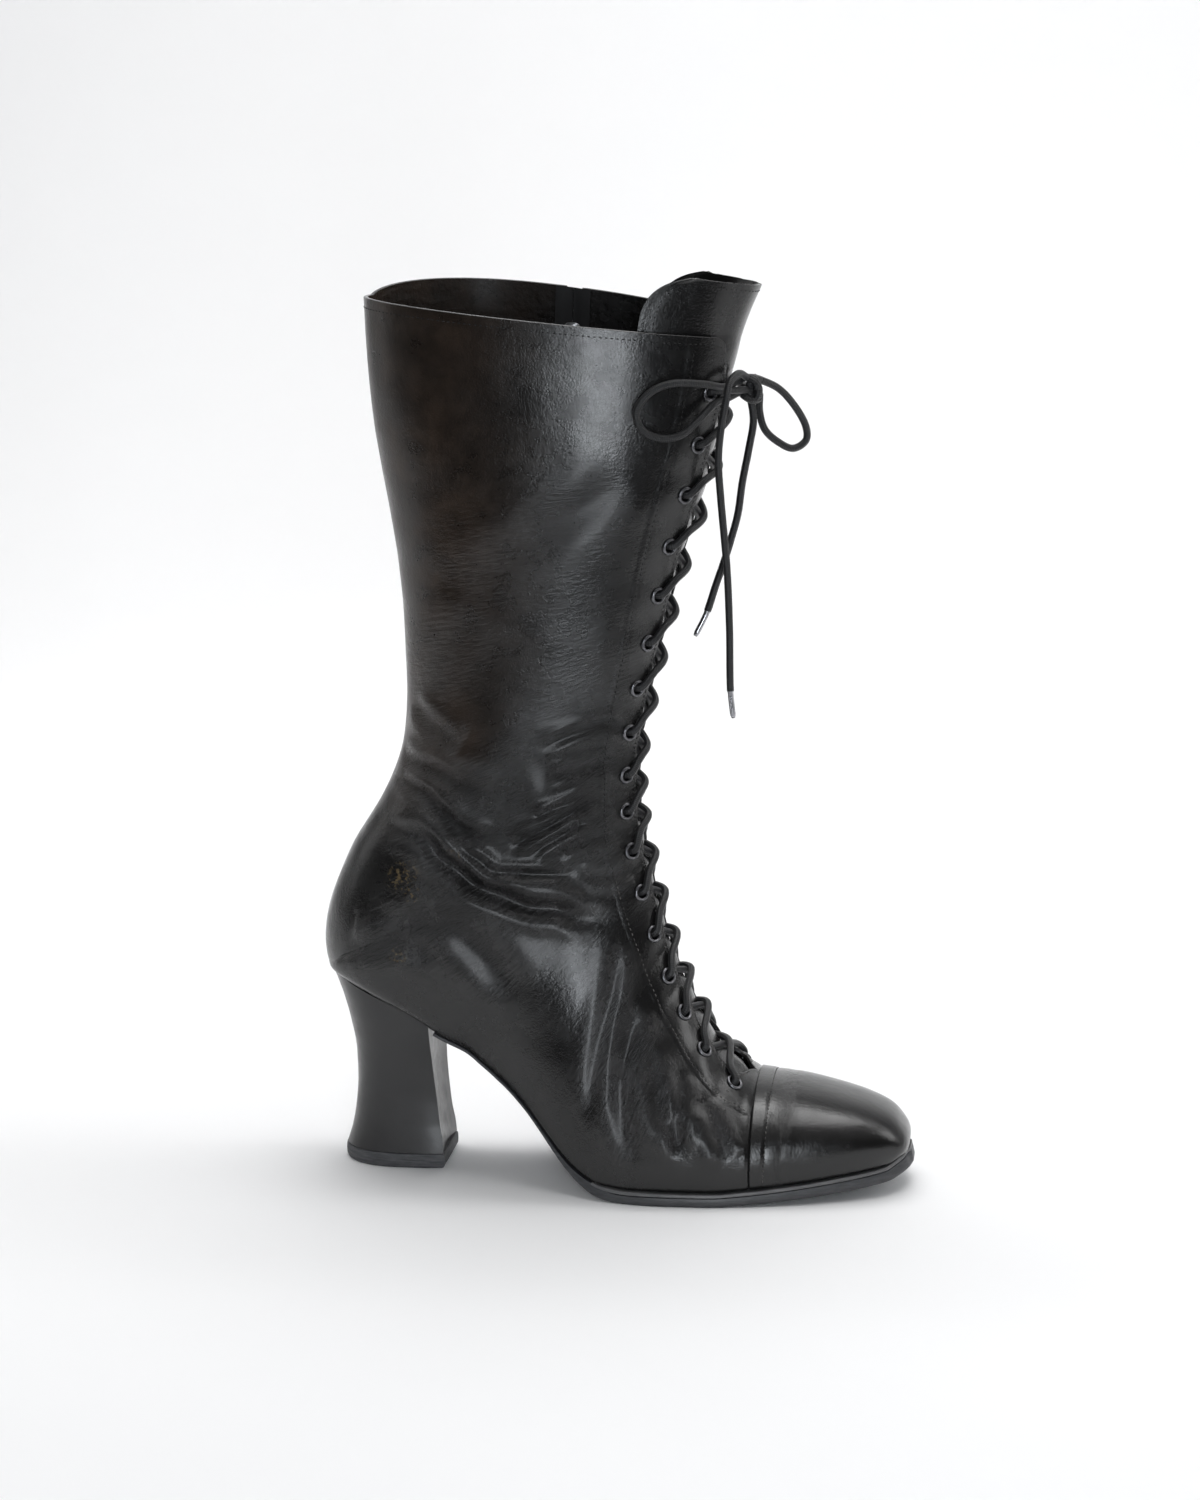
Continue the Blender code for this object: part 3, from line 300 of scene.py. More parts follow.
# Main creases: side, depth and half width in millimetres, ridge beyond and
# before the line as shares of the depth, points as row and turn of the last
CREASES = (
    ("outer", 2.3, 3.6, 0.75, 0.35, (
        (23.9, 1.86), (22.82, 1.25), (21.84, 1.05), (20.54, 0.93), (18.57, 0.84), (17.28, 0.77),
        (16.53, 0.68), (15.79, 0.61), (14.91, 0.46),
    )),
    ("outer", 1.1, 2.0, 0.70, 0.50, ((22.3, 1.02), (21.1, 0.90), (19.4, 0.78), (18.0, 0.66), (17.2, 0.55))),
    ("outer", 1.5, 3.0, 0.65, 0.45, (
        (24.57, 1.72), (23.90, 1.37), (23.04, 1.12), (22.17, 0.96), (21.62, 0.85),
    )),
    ("outer", 1.2, 3.2, 0.60, 0.45, ((25.02, 1.82), (24.33, 1.35), (23.77, 1.14), (23.02, 0.88))),
    ("outer", 0.9, 3.6, 0.50, 0.50, ((25.9, 1.70), (25.2, 1.42), (24.6, 1.20))),
    ("outer", 1.0, 2.2, 0.80, 0.60, ((21.05, 0.78), (20.81, 0.68), (20.91, 0.52), (20.96, 0.40))),
    ("outer", 0.8, 1.7, 0.80, 0.60, ((21.6, 0.70), (21.5, 0.58), (21.5, 0.45))),
    ("outer", 0.8, 1.8, 0.70, 0.60, ((20.1, 0.70), (20.0, 0.58), (20.0, 0.45))),
    ("outer", 0.8, 2.2, 0.60, 0.60, ((23.97, 0.82), (23.88, 0.50), (23.3, 0.33))),
    ("outer", 0.7, 2.4, 0.60, 0.50, ((22.9, 0.70), (22.6, 0.50), (22.1, 0.31))),
    ("outer", 0.7, 2.2, 0.60, 0.60, ((19.0, 0.60), (18.4, 0.46), (17.7, 0.30))),
    ("outer", 0.6, 2.2, 0.60, 0.60, ((17.1, 0.55), (16.3, 0.42), (15.8, 0.28))),
    ("outer", 1.5, 6.5, 0.45, 0.45, (
        (21.24, 1.30), (19.6, 1.14), (18.11, 1.02), (16.50, 1.00), (15.3, 1.02),
    )),
    ("outer", 0.9, 4.5, 0.40, 0.50, ((20.4, 1.52), (19.4, 1.32), (18.3, 1.20), (17.2, 1.14))),
    ("outer", 1.0, 4.5, 0.60, 0.50, ((12.9, 0.50), (12.27, 0.67), (11.4, 0.84), (10.6, 1.00))),
    ("outer", 0.9, 3.6, 0.70, 0.60, ((11.6, 0.52), (10.70, 0.70), (9.86, 0.80), (9.2, 0.92))),
    ("outer", 0.8, 2.6, 0.60, 0.70, ((10.38, 0.50), (10.09, 0.63), (9.80, 0.77), (9.55, 0.94))),
    ("outer", 0.7, 3.2, 0.60, 0.60, ((9.3, 0.55), (8.6, 0.66), (8.1, 0.80), (7.7, 0.92))),
    ("outer", 0.6, 3.0, 0.60, 0.50, ((14.4, 0.48), (13.6, 0.62), (12.9, 0.80), (12.3, 0.95))),
    ("outer", 0.5, 6.0, 0.50, 0.50, ((27.4, 1.10), (26.6, 1.45), (26.0, 1.80))),
    ("outer", 0.5, 7.0, 0.50, 0.50, ((29.4, 0.62), (28.2, 1.00), (27.5, 1.40))),
    ("inner", 2.1, 3.8, 0.70, 0.35, (
        (23.9, 1.86), (22.7, 1.28), (21.6, 1.06), (20.2, 0.92), (18.5, 0.82), (17.1, 0.72), (15.6, 0.58),
    )),
    ("inner", 1.3, 3.0, 0.60, 0.45, ((24.6, 1.74), (23.8, 1.36), (22.9, 1.16))),
    ("inner", 0.9, 2.2, 0.70, 0.60, ((21.3, 0.74), (21.1, 0.56), (21.0, 0.40))),
    ("inner", 0.8, 2.2, 0.60, 0.60, ((19.3, 0.62), (18.7, 0.46), (18.0, 0.31))),
    ("inner", 0.7, 2.4, 0.60, 0.50, ((23.4, 0.68), (23.0, 0.48), (22.6, 0.33))),
    ("inner", 1.2, 6.0, 0.45, 0.45, ((20.9, 1.30), (19.2, 1.14), (17.6, 1.04), (16.0, 1.02))),
    ("inner", 0.9, 4.0, 0.60, 0.50, ((12.8, 0.48), (12.0, 0.66), (11.2, 0.86))),
    ("inner", 0.8, 3.2, 0.60, 0.60, ((10.9, 0.50), (10.2, 0.66), (9.6, 0.84))),
    ("inner", 0.7, 3.0, 0.60, 0.60, ((9.2, 0.52), (8.6, 0.66), (8.1, 0.82))),
)

# Gold brown scuffs on the outer side: place and radius in millimetres
SCUFFS = (
    ((-89.0, -34.0, 134.0), 10.0),
    ((-84.0, -36.0, 126.0), 6.0),
    ((-90.0, -34.0, 99.0), 5.0),
    ((-66.0, -37.0, 142.0), 6.0),
)

# Soft swells and dents: side, row, turn, radius and height in millimetres
SWELLS = (
    ("outer", 18.6, 0.98, 11.0, 0.9),
    ("outer", 17.83, 1.22, 6.0, -1.0),
    ("outer", 19.3, 1.50, 14.0, 0.8),
    ("outer", 14.6, 0.80, 13.0, 0.9),
    ("outer", 22.6, 0.72, 9.0, 0.8),
    ("outer", 11.93, 0.72, 5.0, 0.8),
    ("outer", 9.2, 0.66, 5.0, 0.7),
    ("outer", 8.4, 0.86, 6.0, 0.6),
    ("outer", 28.6, 1.25, 24.0, -0.9),
    ("inner", 18.2, 1.00, 11.0, 0.8),
    ("inner", 14.4, 0.80, 12.0, 0.8),
    ("inner", 19.3, 1.50, 13.0, 0.7),
    ("inner", 10.6, 0.74, 6.0, 0.6),
)


def eased(f, a, b, c, d):
    """Value a share f of the way from b to c on a smooth curve through all four."""
    return b + 0.5 * f * (c - a + f * (2 * a - 5 * b + 4 * c - d + f * (3 * (b - c) + d - a)))


def soft(values, low, high):
    """0 below low, 1 above high and smooth between them."""
    f = np.clip((values - low) / (high - low), 0.0, 1.0)
    return f * f * (3 - 2 * f)


def limited(a, b):
    """Slope at a point between two others, nothing where it turns back."""
    if a * b <= 0:
        return 0.0
    return 2 * a * b / (a + b)


def smooth_share(table, x, name):
    """Value of a column at x, with slopes limited so that nothing overshoots."""
    column = table[0].index(name)
    rows = table[1:]
    if x <= rows[0][0]:
        return rows[0][column]
    if x >= rows[-1][0]:
        return rows[-1][column]
    i = 0
    while rows[i + 1][0] < x:
        i += 1
    step = rows[i + 1][0] - rows[i][0]
    rise = (rows[i + 1][column] - rows[i][column]) / step
    before = rise
    after = rise
    if i > 0:
        before = limited(rise, (rows[i][column] - rows[i - 1][column]) / (rows[i][0] - rows[i - 1][0]))
    if i + 2 < len(rows):
        after = limited(rise, (rows[i + 2][column] - rows[i + 1][column]) / (rows[i + 2][0] - rows[i + 1][0]))
    f = (x - rows[i][0]) / step
    low = rows[i][column] * (1 + 2 * f) * (1 - f) ** 2 + before * step * f * (1 - f) ** 2
    high = rows[i + 1][column] * f * f * (3 - 2 * f) - after * step * f * f * (1 - f)
    return low + high


def share_x(x):
    """Share of the length from the heel at a place along the boot."""
    return x / LENGTH + 0.5


def underside(x):
    return smooth_share(UNDERSIDE, share_x(x), "z") * HEIGHT


def sole_slope(x):
    return math.atan2(underside(x + 0.5) - underside(x - 0.5), 1.0)


def sole_wall(x):
    return smooth_share(UNDERSIDE, share_x(x), "edge") * SOLE


def outline(x, side):
    return smooth_share(OUTLINE, share_x(x), "outer" if side < 0 else "inner") * BALL


def ledge(x):
    return smooth_share(LEDGE, share_x(x), "ledge") * SOLE


def feather(x):
    """Height of the line where the upper meets the sole or the heel seat."""
    if share_x(x) < BREAST:
        return smooth_share(SEAT, share_x(x), "z") * HEIGHT
    return underside(x) + sole_wall(x) / math.cos(sole_slope(x)) + SEAM


def column(name, rows, first=0):
    """Smooth values of a column of the section table at the given rows."""
    k = SECTIONS[0].index(name)
    values = np.array([line[k] or 0.0 for line in SECTIONS[1:]])
    last = len(values) - 1
    i = np.clip(np.floor(rows).astype(int), 0, last - 1)
    near = [values[np.clip(i + step, first, last)] for step in (-1, 0, 1, 2)]
    return eased(rows - i, *near)


def surface(rows, side, turns):
    """Points of the bare outer face: one line of turns for each row."""
    front_x = (column("front_x", rows) - 0.5)[:, None] * LENGTH
    front_y = column("front_y", rows)[:, None] * BALL
    front_z = column("front_z", rows)[:, None] * HEIGHT
    base_x = (column("base_x", rows) - 0.5) * LENGTH
    low_z = np.array([feather(x) for x in base_x])
    base_z = np.where(rows > HEEL_ROW, column("base_z", rows, HEEL_ROW) * HEIGHT, low_z)[:, None]
    closing = np.sqrt(1 - np.clip(rows - (HEEL_ROW - 1), 0.0, 1.0) ** 2)
    base_y = side * np.array([outline(x, side) - ledge(x) for x in base_x]) * closing
    base_y = base_y[:, None]
    base_x = base_x[:, None]
    wide = side * column("outer" if side < 0 else "inner", rows)[:, None] * BALL
    wide_at = column("wide_at", rows)[:, None]
    top = 2 / column("top", rows)[:, None]
    low = 2 / column("low", rows)[:, None]
    angle = np.clip(turns, 0.0, 1.0) * math.pi / 2
    y_top = front_y + (wide - front_y) * np.sin(angle) ** top
    u_top = wide_at + (1 - wide_at) * np.clip(np.cos(angle), 0.0, 1.0) ** top
    angle = np.clip(turns - 1, 0.0, 1.0) * math.pi / 2
    y_low = base_y + (wide - base_y) * np.clip(np.cos(angle), 0.0, 1.0) ** low
    u_low = wide_at * (1 - np.sin(angle) ** low)
    y = np.where(turns <= 1, y_top, y_low)
    u = np.where(turns <= 1, u_top, u_low)
    return np.stack([base_x + u * (front_x - base_x), y, base_z + u * (front_z - base_z)], axis=2)


def bare_point(row, side, turn):
    """One point of the bare outer face."""
    return surface(np.array([row]), side, np.array([[turn]]))[0, 0]


def dense(rows, side):
    """Many turns of each row with their distances round the face."""
    turns = np.tile(np.linspace(0.0, 2.0, 401), (len(rows), 1))
    steps = np.linalg.norm(np.diff(surface(rows, side, turns), axis=1), axis=2)
    return turns, np.concatenate([np.zeros((len(rows), 1)), np.cumsum(steps, axis=1)], axis=1)


def throat(rows):
    """Half of the open throat, measured round the face."""
    return np.where(rows <= CAP_ROW, 0.0, column("gap", rows) * BALL)


def half_throat(row):
    return float(throat(np.array([row]))[0])


def stay_edge(rows):
    """Where the eyestay ends, measured round the face from the front line."""
    level = throat(rows) + STAY_WIDTH
    return np.where(rows < 8.2, np.maximum(level, 35.0), level)


def spread(edges, counts):
    """Distances of the grid columns between the given edges of each row."""
    pieces = []
    for k, count in enumerate(counts):
        f = np.linspace(0.0, 1.0, count + 1)[None, :]
        piece = edges[k][:, None] * (1 - f) + edges[k + 1][:, None] * f
        pieces.append(piece if k == 0 else piece[:, 1:])
    return np.concatenate(pieces, axis=1)


def facing(grid, side):
    """Outward normals of a grid of points."""
    normal = np.cross(np.gradient(grid, axis=1), np.gradient(grid, axis=0)) * side
    return normal / np.maximum(np.linalg.norm(normal, axis=2, keepdims=True), 1e-9)


def side_name(side):
    return "outer" if side < 0 else "inner"


def crease_line(side, points):
    """The crease's points on the bare face, close together."""
    rows = np.array([p[0] for p in points])
    turns = np.array([p[1] for p in points])
    fine = np.linspace(0, len(points) - 1, 16 * len(points))
    i = np.clip(np.floor(fine).astype(int), 0, len(points) - 2)
    near = [np.clip(i + step, 0, len(points) - 1) for step in (-1, 0, 1, 2)]
    rows_fine = eased(fine - i, *[rows[k] for k in near])
    turns_fine = np.clip(eased(fine - i, *[turns[k] for k in near]), 0.0, 2.0)
    return surface(rows_fine, side, turns_fine[:, None])[:, 0]


def carve(grid, normals, side, lines):
    """Heights that the creases add to a grid, and how close each point is to one."""
    height = np.zeros(grid.shape[:2])
    worn = np.zeros(grid.shape[:2])
    for name, depth, width, beyond, before, points in lines:
        if name != side_name(side):
            continue
        line = crease_line(side, points)
        reach = 4.5 * width
        inside = np.all((grid > line.min(axis=0) - reach) & (grid < line.max(axis=0) + reach), axis=2)
        spots = grid[inside]
        if not len(spots):
            continue
        away = spots[:, None, :] - line[None, :, :]
        distance = np.linalg.norm(away, axis=2)
        nearest = distance.argmin(axis=1)
        d = distance[np.arange(len(spots)), nearest]
        tangent = np.gradient(line, axis=0)[nearest]
        across = np.cross(normals[inside], tangent)
        sign = np.einsum("ij,ij->i", away[np.arange(len(spots)), nearest], across)
        sign = np.tanh(sign / np.maximum(np.linalg.norm(across, axis=1), 1e-9) / (0.6 * width))
        along = nearest / (len(line) - 1)
        fade = soft(along, 0.0, 0.22) * soft(1 - along, 0.0, 0.28)
        ridge = 0.5 * (beyond + before) + 0.5 * (beyond - before) * sign
        shape = ridge * np.exp(-((d - 1.9 * width) / (1.05 * width)) ** 2) - np.exp(-(d / width) ** 2)
        height[inside] += FOLD * depth * fade * shape
        worn[inside] = np.maximum(worn[inside], fade * np.exp(-(d / (2.6 * width)) ** 2) * min(1.0, depth))
    return height, worn


def swell(grid, side):
    """Heights that the soft swells and dents add to a grid."""
    height = np.zeros(grid.shape[:2])
    for name, row, turn, radius, rise in SWELLS:
        if name == side_name(side):
            away = np.linalg.norm(grid - bare_point(row, side, turn), axis=2)
            height += rise * np.exp(-(away / radius) ** 2)
    return height


def waves(grid):
    """Slow uneven relief that a worn upper has all over."""
    x, y, z = grid[..., 0], grid[..., 1], grid[..., 2]
    slow = np.sin(x / 13.0 + 1.3 * np.sin(z / 17.0)) * np.sin(z / 15.0 + 1.1 * np.sin(y / 12.0 + x / 21.0))
    quick = np.sin(x / 5.3 + z / 7.1 + np.sin(y / 6.0)) * np.sin(z / 5.9 - x / 8.3)
    return 0.22 * slow + 0.06 * quick


def eyelet_place(rows):
    """Rows as a count of eyelets up from the lowest."""
    return np.interp(rows, EYELET_ROWS[::-1], np.arange(EYELETS))


def pucker(rows, runs):
    """Pull of the laces on the eyestay: up at each eyelet, down between two."""
    place = eyelet_place(rows)
    uneven = 0.75 + 0.35 * np.sin(place * 2.3 + 0.7)
    wave = np.cos(2 * math.pi * place) * uneven
    near = 1 - soft(runs - throat(rows)[:, None], 5.0, 30.0)
    lower = 0.55 + 0.45 * soft(26.0 - rows, 0.0, 3.0)
    return 0.62 * (wave * lower)[:, None] * near


class Face:
    """A finished side of the upper: its grid, and places on it."""

    def __init__(self, rows, side, edges, counts):
        self.rows = rows
        self.side = side
        turns, runs = dense(rows, side)
        ends = [edge if edge is not None else runs[:, -1] for edge in edges]
        self.runs = spread(ends, counts)
        self.turns = np.array([np.interp(d, run, turn) for d, run, turn in zip(self.runs, runs, turns)])
        self.bare = surface(rows, side, self.turns)
        self.out = facing(self.bare, side)
        self.grid = self.bare.copy()
        self.worn = np.zeros(self.turns.shape)

    def raise_by(self, height):
        self.grid = self.bare + self.out * height[..., None]

    def finish(self):
        self.normals = facing(self.grid, self.side)

    def at(self, row, distance, height=0.0):
        """Point and normal of the finished face at a row and a distance round it."""
        r = float(np.interp(row, self.rows, np.arange(len(self.rows))))
        i = min(int(r), len(self.rows) - 2)
        spots = []
        turned = []
        for k in (i, i + 1):
            c = float(np.interp(distance, self.runs[k], np.arange(self.runs.shape[1])))
            j = min(int(c), self.runs.shape[1] - 2)
            spots.append(self.grid[k, j] * (1 - c + j) + self.grid[k, j + 1] * (c - j))
            turned.append(self.normals[k, j] * (1 - c + j) + self.normals[k, j + 1] * (c - j))
        point = spots[0] * (1 - r + i) + spots[1] * (r - i)
        normal = turned[0] * (1 - r + i) + turned[1] * (r - i)
        normal /= np.linalg.norm(normal)
        return point + normal * height, normal

    def zip_place(self, row):
        """Distance round the face of the middle of the zip at a row."""
        return float(np.interp(row, self.rows, self.zip_run))


def collar_row(side, turns, rise):
    """Row of the collar edge: rounded at the throat, higher on the inner side."""
    rows = np.full(turns.shape, float(COLLAR_ROW))
    if side > 0:
        rows += 0.36 * np.sin(math.pi * np.minimum(1.0, turns / 1.9)) ** 0.8
    corner = np.clip(COLLAR_CORNER - rise, 0.0, COLLAR_CORNER)
    drop = COLLAR_CORNER - np.sqrt(COLLAR_CORNER ** 2 - corner ** 2)
    return rows - drop / COLLAR_SPACING


def steps_of(parts):
    """Rows from parts that each have a first and a last row and a fineness."""
    rows = []
    for first, last, each in parts:
        rows += list(np.arange(first, last - 1e-6, 1.0 / each))
    return np.array(rows + [parts[-1][1]])


def upper_faces():
    """The two sides of the upper, creased, with the eyestay's step and puckers."""
    rows = steps_of(((6.4, 8.0, 16), (8.0, 20.0, 10), (20.0, 32.0, 15)))
    faces = {}
    for side in (-1, 1):
        start = throat(rows)
        stay = stay_edge(rows)
        if side < 0:
            face = Face(rows, side, [start, stay - STAY_RAMP, stay + STAY_RAMP, None], OUTER_COLUMNS)
        else:
            turns, runs = dense(rows, side)
            middle = np.array([np.interp(ZIP_AT, turn, run) for turn, run in zip(turns, runs)])
            half = SLOT_WIDTH / 2
            ends = [start, stay - STAY_RAMP, stay + STAY_RAMP, middle - half, middle + half, None]
            face = Face(rows, side, ends, INNER_COLUMNS)
            face.zip_run = middle
        top = collar_row(side, face.turns[-1], face.runs[-1] - face.runs[-1, 0])
        stretch = soft(rows, 29.0, 32.0)[:, None] * (top - COLLAR_ROW)[None, :]
        shifted = rows[:, None] + stretch
        moved = np.empty_like(face.bare)
        for j in range(face.turns.shape[1]):
            moved[:, j] = surface(shifted[:, j], side, face.turns[:, j:j + 1])[:, 0]
        face.bare = moved
        face.out = facing(face.bare, side)
        heights, worn = carve(face.bare, face.out, side, CREASES)
        heights += swell(face.bare, side) + waves(face.bare)
        step = 1 - soft(face.runs - stay[:, None], -0.3, 0.3)
        heights += STAY_STEP * step * soft(rows, 7.0, 7.2)[:, None]
        heights += pucker(rows, face.runs)
        stitch = face.runs - (stay - SEAM_INSET)[:, None]
        heights -= 0.18 * np.exp(-(stitch / 0.9) ** 2)
        total = face.runs[:, -1:]
        calm = np.where(rows[:, None] < HEEL_ROW, soft(total - face.runs, 0.0, 9.0), 1.0)
        heights *= calm * soft(32.0 - rows, -0.6, 0.5)[:, None]
        heights -= 1.6 * SEAM * (1 - soft(rows, 6.9, 7.05))[:, None]
        face.raise_by(heights)
        face.worn = worn
        faces[side] = face
    join = rows >= HEEL_ROW
    middle = (faces[-1].grid[join, -1] + faces[1].grid[join, -1]) / 2
    for side in (-1, 1):
        faces[side].grid[join, -1] = middle
        faces[side].finish()
    return faces


BLANK = np.zeros((1, 1, 2))


def plain(grid, turned=False):
    """A whole grid without values of its own, for joined."""
    return (grid, turned, None, BLANK)


def joined(grids):
    """One list of points, faces and values from several grids. Each comes with
    whether it is turned over, a mask of its faces or None, and its values."""
    points = []
    faces = []
    spots = []
    base = 0
    for grid, turned, keep, extra in grids:
        tall, wide = grid.shape[:2]
        points.append(grid.reshape(-1, 3))
        spots.append(np.broadcast_to(extra, (tall, wide, extra.shape[-1])).reshape(tall * wide, -1))
        a = (np.arange(tall - 1)[:, None] * wide + np.arange(wide - 1)[None, :]) + base
        ring = np.stack([a, a + 1, a + wide + 1, a + wide], axis=-1)
        if turned:
            ring = ring[..., ::-1]
        ring = ring.reshape(-1, 4)
        if keep is not None:
            ring = ring[keep.reshape(-1)]
        faces.append(ring)
        base += tall * wide
    return np.concatenate(points), np.concatenate(faces), np.concatenate(spots)


def write_values(mesh, values, names):
    """Values of the points under their names. u and v become a map."""
    for k, label in enumerate(names):
        if label not in ("u", "v"):
            layer = mesh.attributes.new(label, "FLOAT", "POINT")
            layer.data.foreach_set("value", np.ascontiguousarray(values[:, k], dtype=np.float32))
    if "u" in names:
        flat = mesh.uv_layers.new(name="along")
        order = np.empty(len(mesh.loops), dtype=np.int32)
        mesh.loops.foreach_get("vertex_index", order)
        pick = values[:, [names.index("u"), names.index("v")]][order]
        flat.data.foreach_set("uv", np.ascontiguousarray(pick, dtype=np.float32).reshape(-1))


def reworked(mesh, change):
    """Applies a change to an editable copy of the mesh, and writes it back."""
    work = bmesh.new()
    work.from_mesh(mesh)
    change(work)
    work.to_mesh(mesh)
    work.free()


def weld(work):
    bmesh.ops.remove_doubles(work, verts=work.verts, dist=WELD * MM)


def face_outward(work):
    bmesh.ops.recalc_face_normals(work, faces=work.faces)


def piece(name, grids, look, slot, names=(), body="boot", welded=False, soft_angle=None):
    """A mesh in metres that rides on a body, with the values that names lists."""
    points, faces, values = joined(grids)
    mesh = bpy.data.meshes.new(name)
    mesh.from_pydata((points + SHIFT) * MM, [], faces.tolist())
    write_values(mesh, values, names)
    if welded:
        reworked(mesh, weld)
    mesh.shade_smooth()
    thing = bpy.data.objects.new(name, mesh)
    bpy.context.scene.collection.objects.link(thing)
    mesh.materials.append(look)
    if soft_angle:
        mesh.set_sharp_from_angle(angle=math.radians(soft_angle))
    if welded:
        reworked(mesh, face_outward)
    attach(thing, body)
    return thing


def turned_round(points):
    """Frames carried along a line without twist: two lines of unit vectors."""
    ahead = np.gradient(points, axis=0)
    ahead /= np.maximum(np.linalg.norm(ahead, axis=1, keepdims=True), 1e-9)
    first = np.cross(ahead[0], (0.3, 0.2, 0.9))
    first /= np.linalg.norm(first)
    firsts = [first]
    for k in range(1, len(points)):
        first = firsts[-1] - ahead[k] * np.dot(firsts[-1], ahead[k])
        firsts.append(first / np.linalg.norm(first))
    firsts = np.array(firsts)
    return firsts, np.cross(ahead, firsts)


def runs_of(line):
    """Distance of each point from the start of its line."""
    return np.concatenate([[0.0], np.cumsum(np.linalg.norm(np.diff(line, axis=0), axis=1))])


def picked(at, runs, values):
    """Values of a line at a distance along it."""
    return np.stack([np.interp(at, runs, values[:, k]) for k in range(3)], axis=-1)


def smooth_line(points, step):
    """Points a step apart on a smooth curve through the given ones."""
    points = np.array(points, dtype=float)
    last = len(points) - 1
    fine = []
    for i in range(last):
        near = [points[max(0, min(last, k))] for k in (i - 1, i, i + 1, i + 2)]
        for n in range(12):
            fine.append(eased(n / 12, *near))
    fine.append(points[-1])
    fine = np.array(fine)
    runs = runs_of(fine)
    count = max(3, round(runs[-1] / step))
    return picked(np.linspace(0.0, runs[-1], count + 1), runs, fine)


def tube_grid(line, radius, sides=12, close=True):
    """Round tube along a line, as a grid with u in turns and v in millimetres."""
    first, second = turned_round(line)
    angle = np.linspace(0.0, 2 * math.pi, sides + 1)[None, :, None]
    radius = np.broadcast_to(np.asarray(radius, dtype=float), (len(line),))
    ring = first[:, None, :] * np.cos(angle) + second[:, None, :] * np.sin(angle)
    grid = line[:, None, :] + ring * radius[:, None, None]
    runs = runs_of(line)
    if close:
        start, end = (np.repeat(line[k][None, None, :], sides + 1, axis=1) for k in (0, -1))
        grid = np.concatenate([start, grid, end])
        runs = np.concatenate([runs[:1], runs, runs[-1:]])
    u = np.broadcast_to(angle[..., 0] / (2 * math.pi), grid.shape[:2])
    v = np.broadcast_to(runs[:, None], grid.shape[:2])
    return grid, np.stack([u, v], axis=-1)


def tubes(name, lines, radius, look, slot, sides=12):
    grids = []
    for line in lines:
        grid, values = tube_grid(line, radius, sides)
        grids.append((grid, False, None, values))
    return piece(name, grids, look, slot, names=("u", "v"))


def rolled(points, normals, depth, bulge=0.35):
    """Rounded edge from the outer face, over and down to the inner face."""
    away = np.cross(np.gradient(points, axis=0), normals)
    away /= np.maximum(np.linalg.norm(away, axis=1, keepdims=True), 1e-9)
    angle = np.linspace(0.0, math.pi, 7)
    out = bulge * np.sin(angle) ** 0.8
    down = -depth * (1 - np.cos(angle)) / 2
    grid = points[:, None, :] + away[:, None, :] * out[None, :, None]
    return grid + normals[:, None, :] * down[None, :, None]


def stitch_row(points, normals):
    """A row of short rounded stitches along a line on a face."""
    runs = runs_of(points)
    count = int(runs[-1] / STITCH_PITCH)
    ahead = np.gradient(points, axis=0)
    share = np.linspace(-1.0, 1.0, 5)
    angle = np.linspace(0.0, 2 * math.pi, 6)
    wide = STITCH_THICK * np.sqrt(np.clip(1 - np.abs(share) ** 3, 0.0, 1.0)) + 0.01
    arch = STITCH_THICK * 0.9 * (1 - share ** 2) - STITCH_SINK - STITCH_THICK * 0.4
    grids = []
    for at in (np.arange(count) + 0.5) * runs[-1] / max(count, 1):
        middle = picked(at, runs, points)
        normal = picked(at, runs, normals)
        tangent = picked(at, runs, ahead)
        normal /= np.linalg.norm(normal)
        tangent /= np.linalg.norm(tangent)
        across = np.cross(normal, tangent)
        line = middle + tangent * (share[:, None] * STITCH_LONG / 2) + normal * arch[:, None]
        ring = across * np.cos(angle)[:, None] + normal * np.sin(angle)[:, None]
        grids.append(plain(line[:, None, :] + ring[None] * wide[:, None, None]))
    return grids


def stitched(spots):
    """A row of stitches through pairs of a point and its normal."""
    return stitch_row(np.array([point for point, _ in spots]), np.array([normal for _, normal in spots]))


def row_index(rows, row):
    return int(np.argmin(np.abs(rows - row)))


def keep_faces(face, slot_foot, gone):
    """Which faces of a side stay: none across the zip slot or in an eyelet."""
    tall, wide = face.grid.shape[:2]
    keep = np.ones((tall - 1, wide - 1), dtype=bool)
    if face.side > 0:
        keep[slot_foot:, SLOT_FIRST:SLOT_LAST] = False
    inside = gone[:-1, :-1] | gone[1:, :-1] | gone[:-1, 1:] | gone[1:, 1:]
    return keep & ~inside


def eyelet_spots(face):
    """Centre, normal and up direction of each eyelet of a side, top to bottom."""
    spots = []
    for row in EYELET_ROWS:
        run = half_throat(row) + EYELET_INSET
        centre, normal = face.at(row, run)
        up = face.at(min(row + 0.1, 31.9), run)[0] - centre
        up -= normal * np.dot(up, normal)
        spots.append((centre, normal, up / np.linalg.norm(up)))
    return spots


def open_holes(grid, spots):
    """Marks points within a hole, and draws the next ones to its round edge."""
    gone = np.zeros(grid.shape[:2], dtype=bool)
    for centre, normal, _ in spots:
        away = grid - centre
        flat = away - (away @ normal)[..., None] * normal
        radius = np.linalg.norm(flat, axis=2)
        near = np.linalg.norm(away, axis=2) < 6.0
        gone |= near & (radius < HOLE_CLEAR)
        ring = near & (radius >= HOLE_CLEAR) & (radius < HOLE_EDGE + 0.45)
        grid[ring] += (flat / np.maximum(radius, 1e-6)[..., None] * (HOLE_EDGE - radius)[..., None])[ring]
    return gone


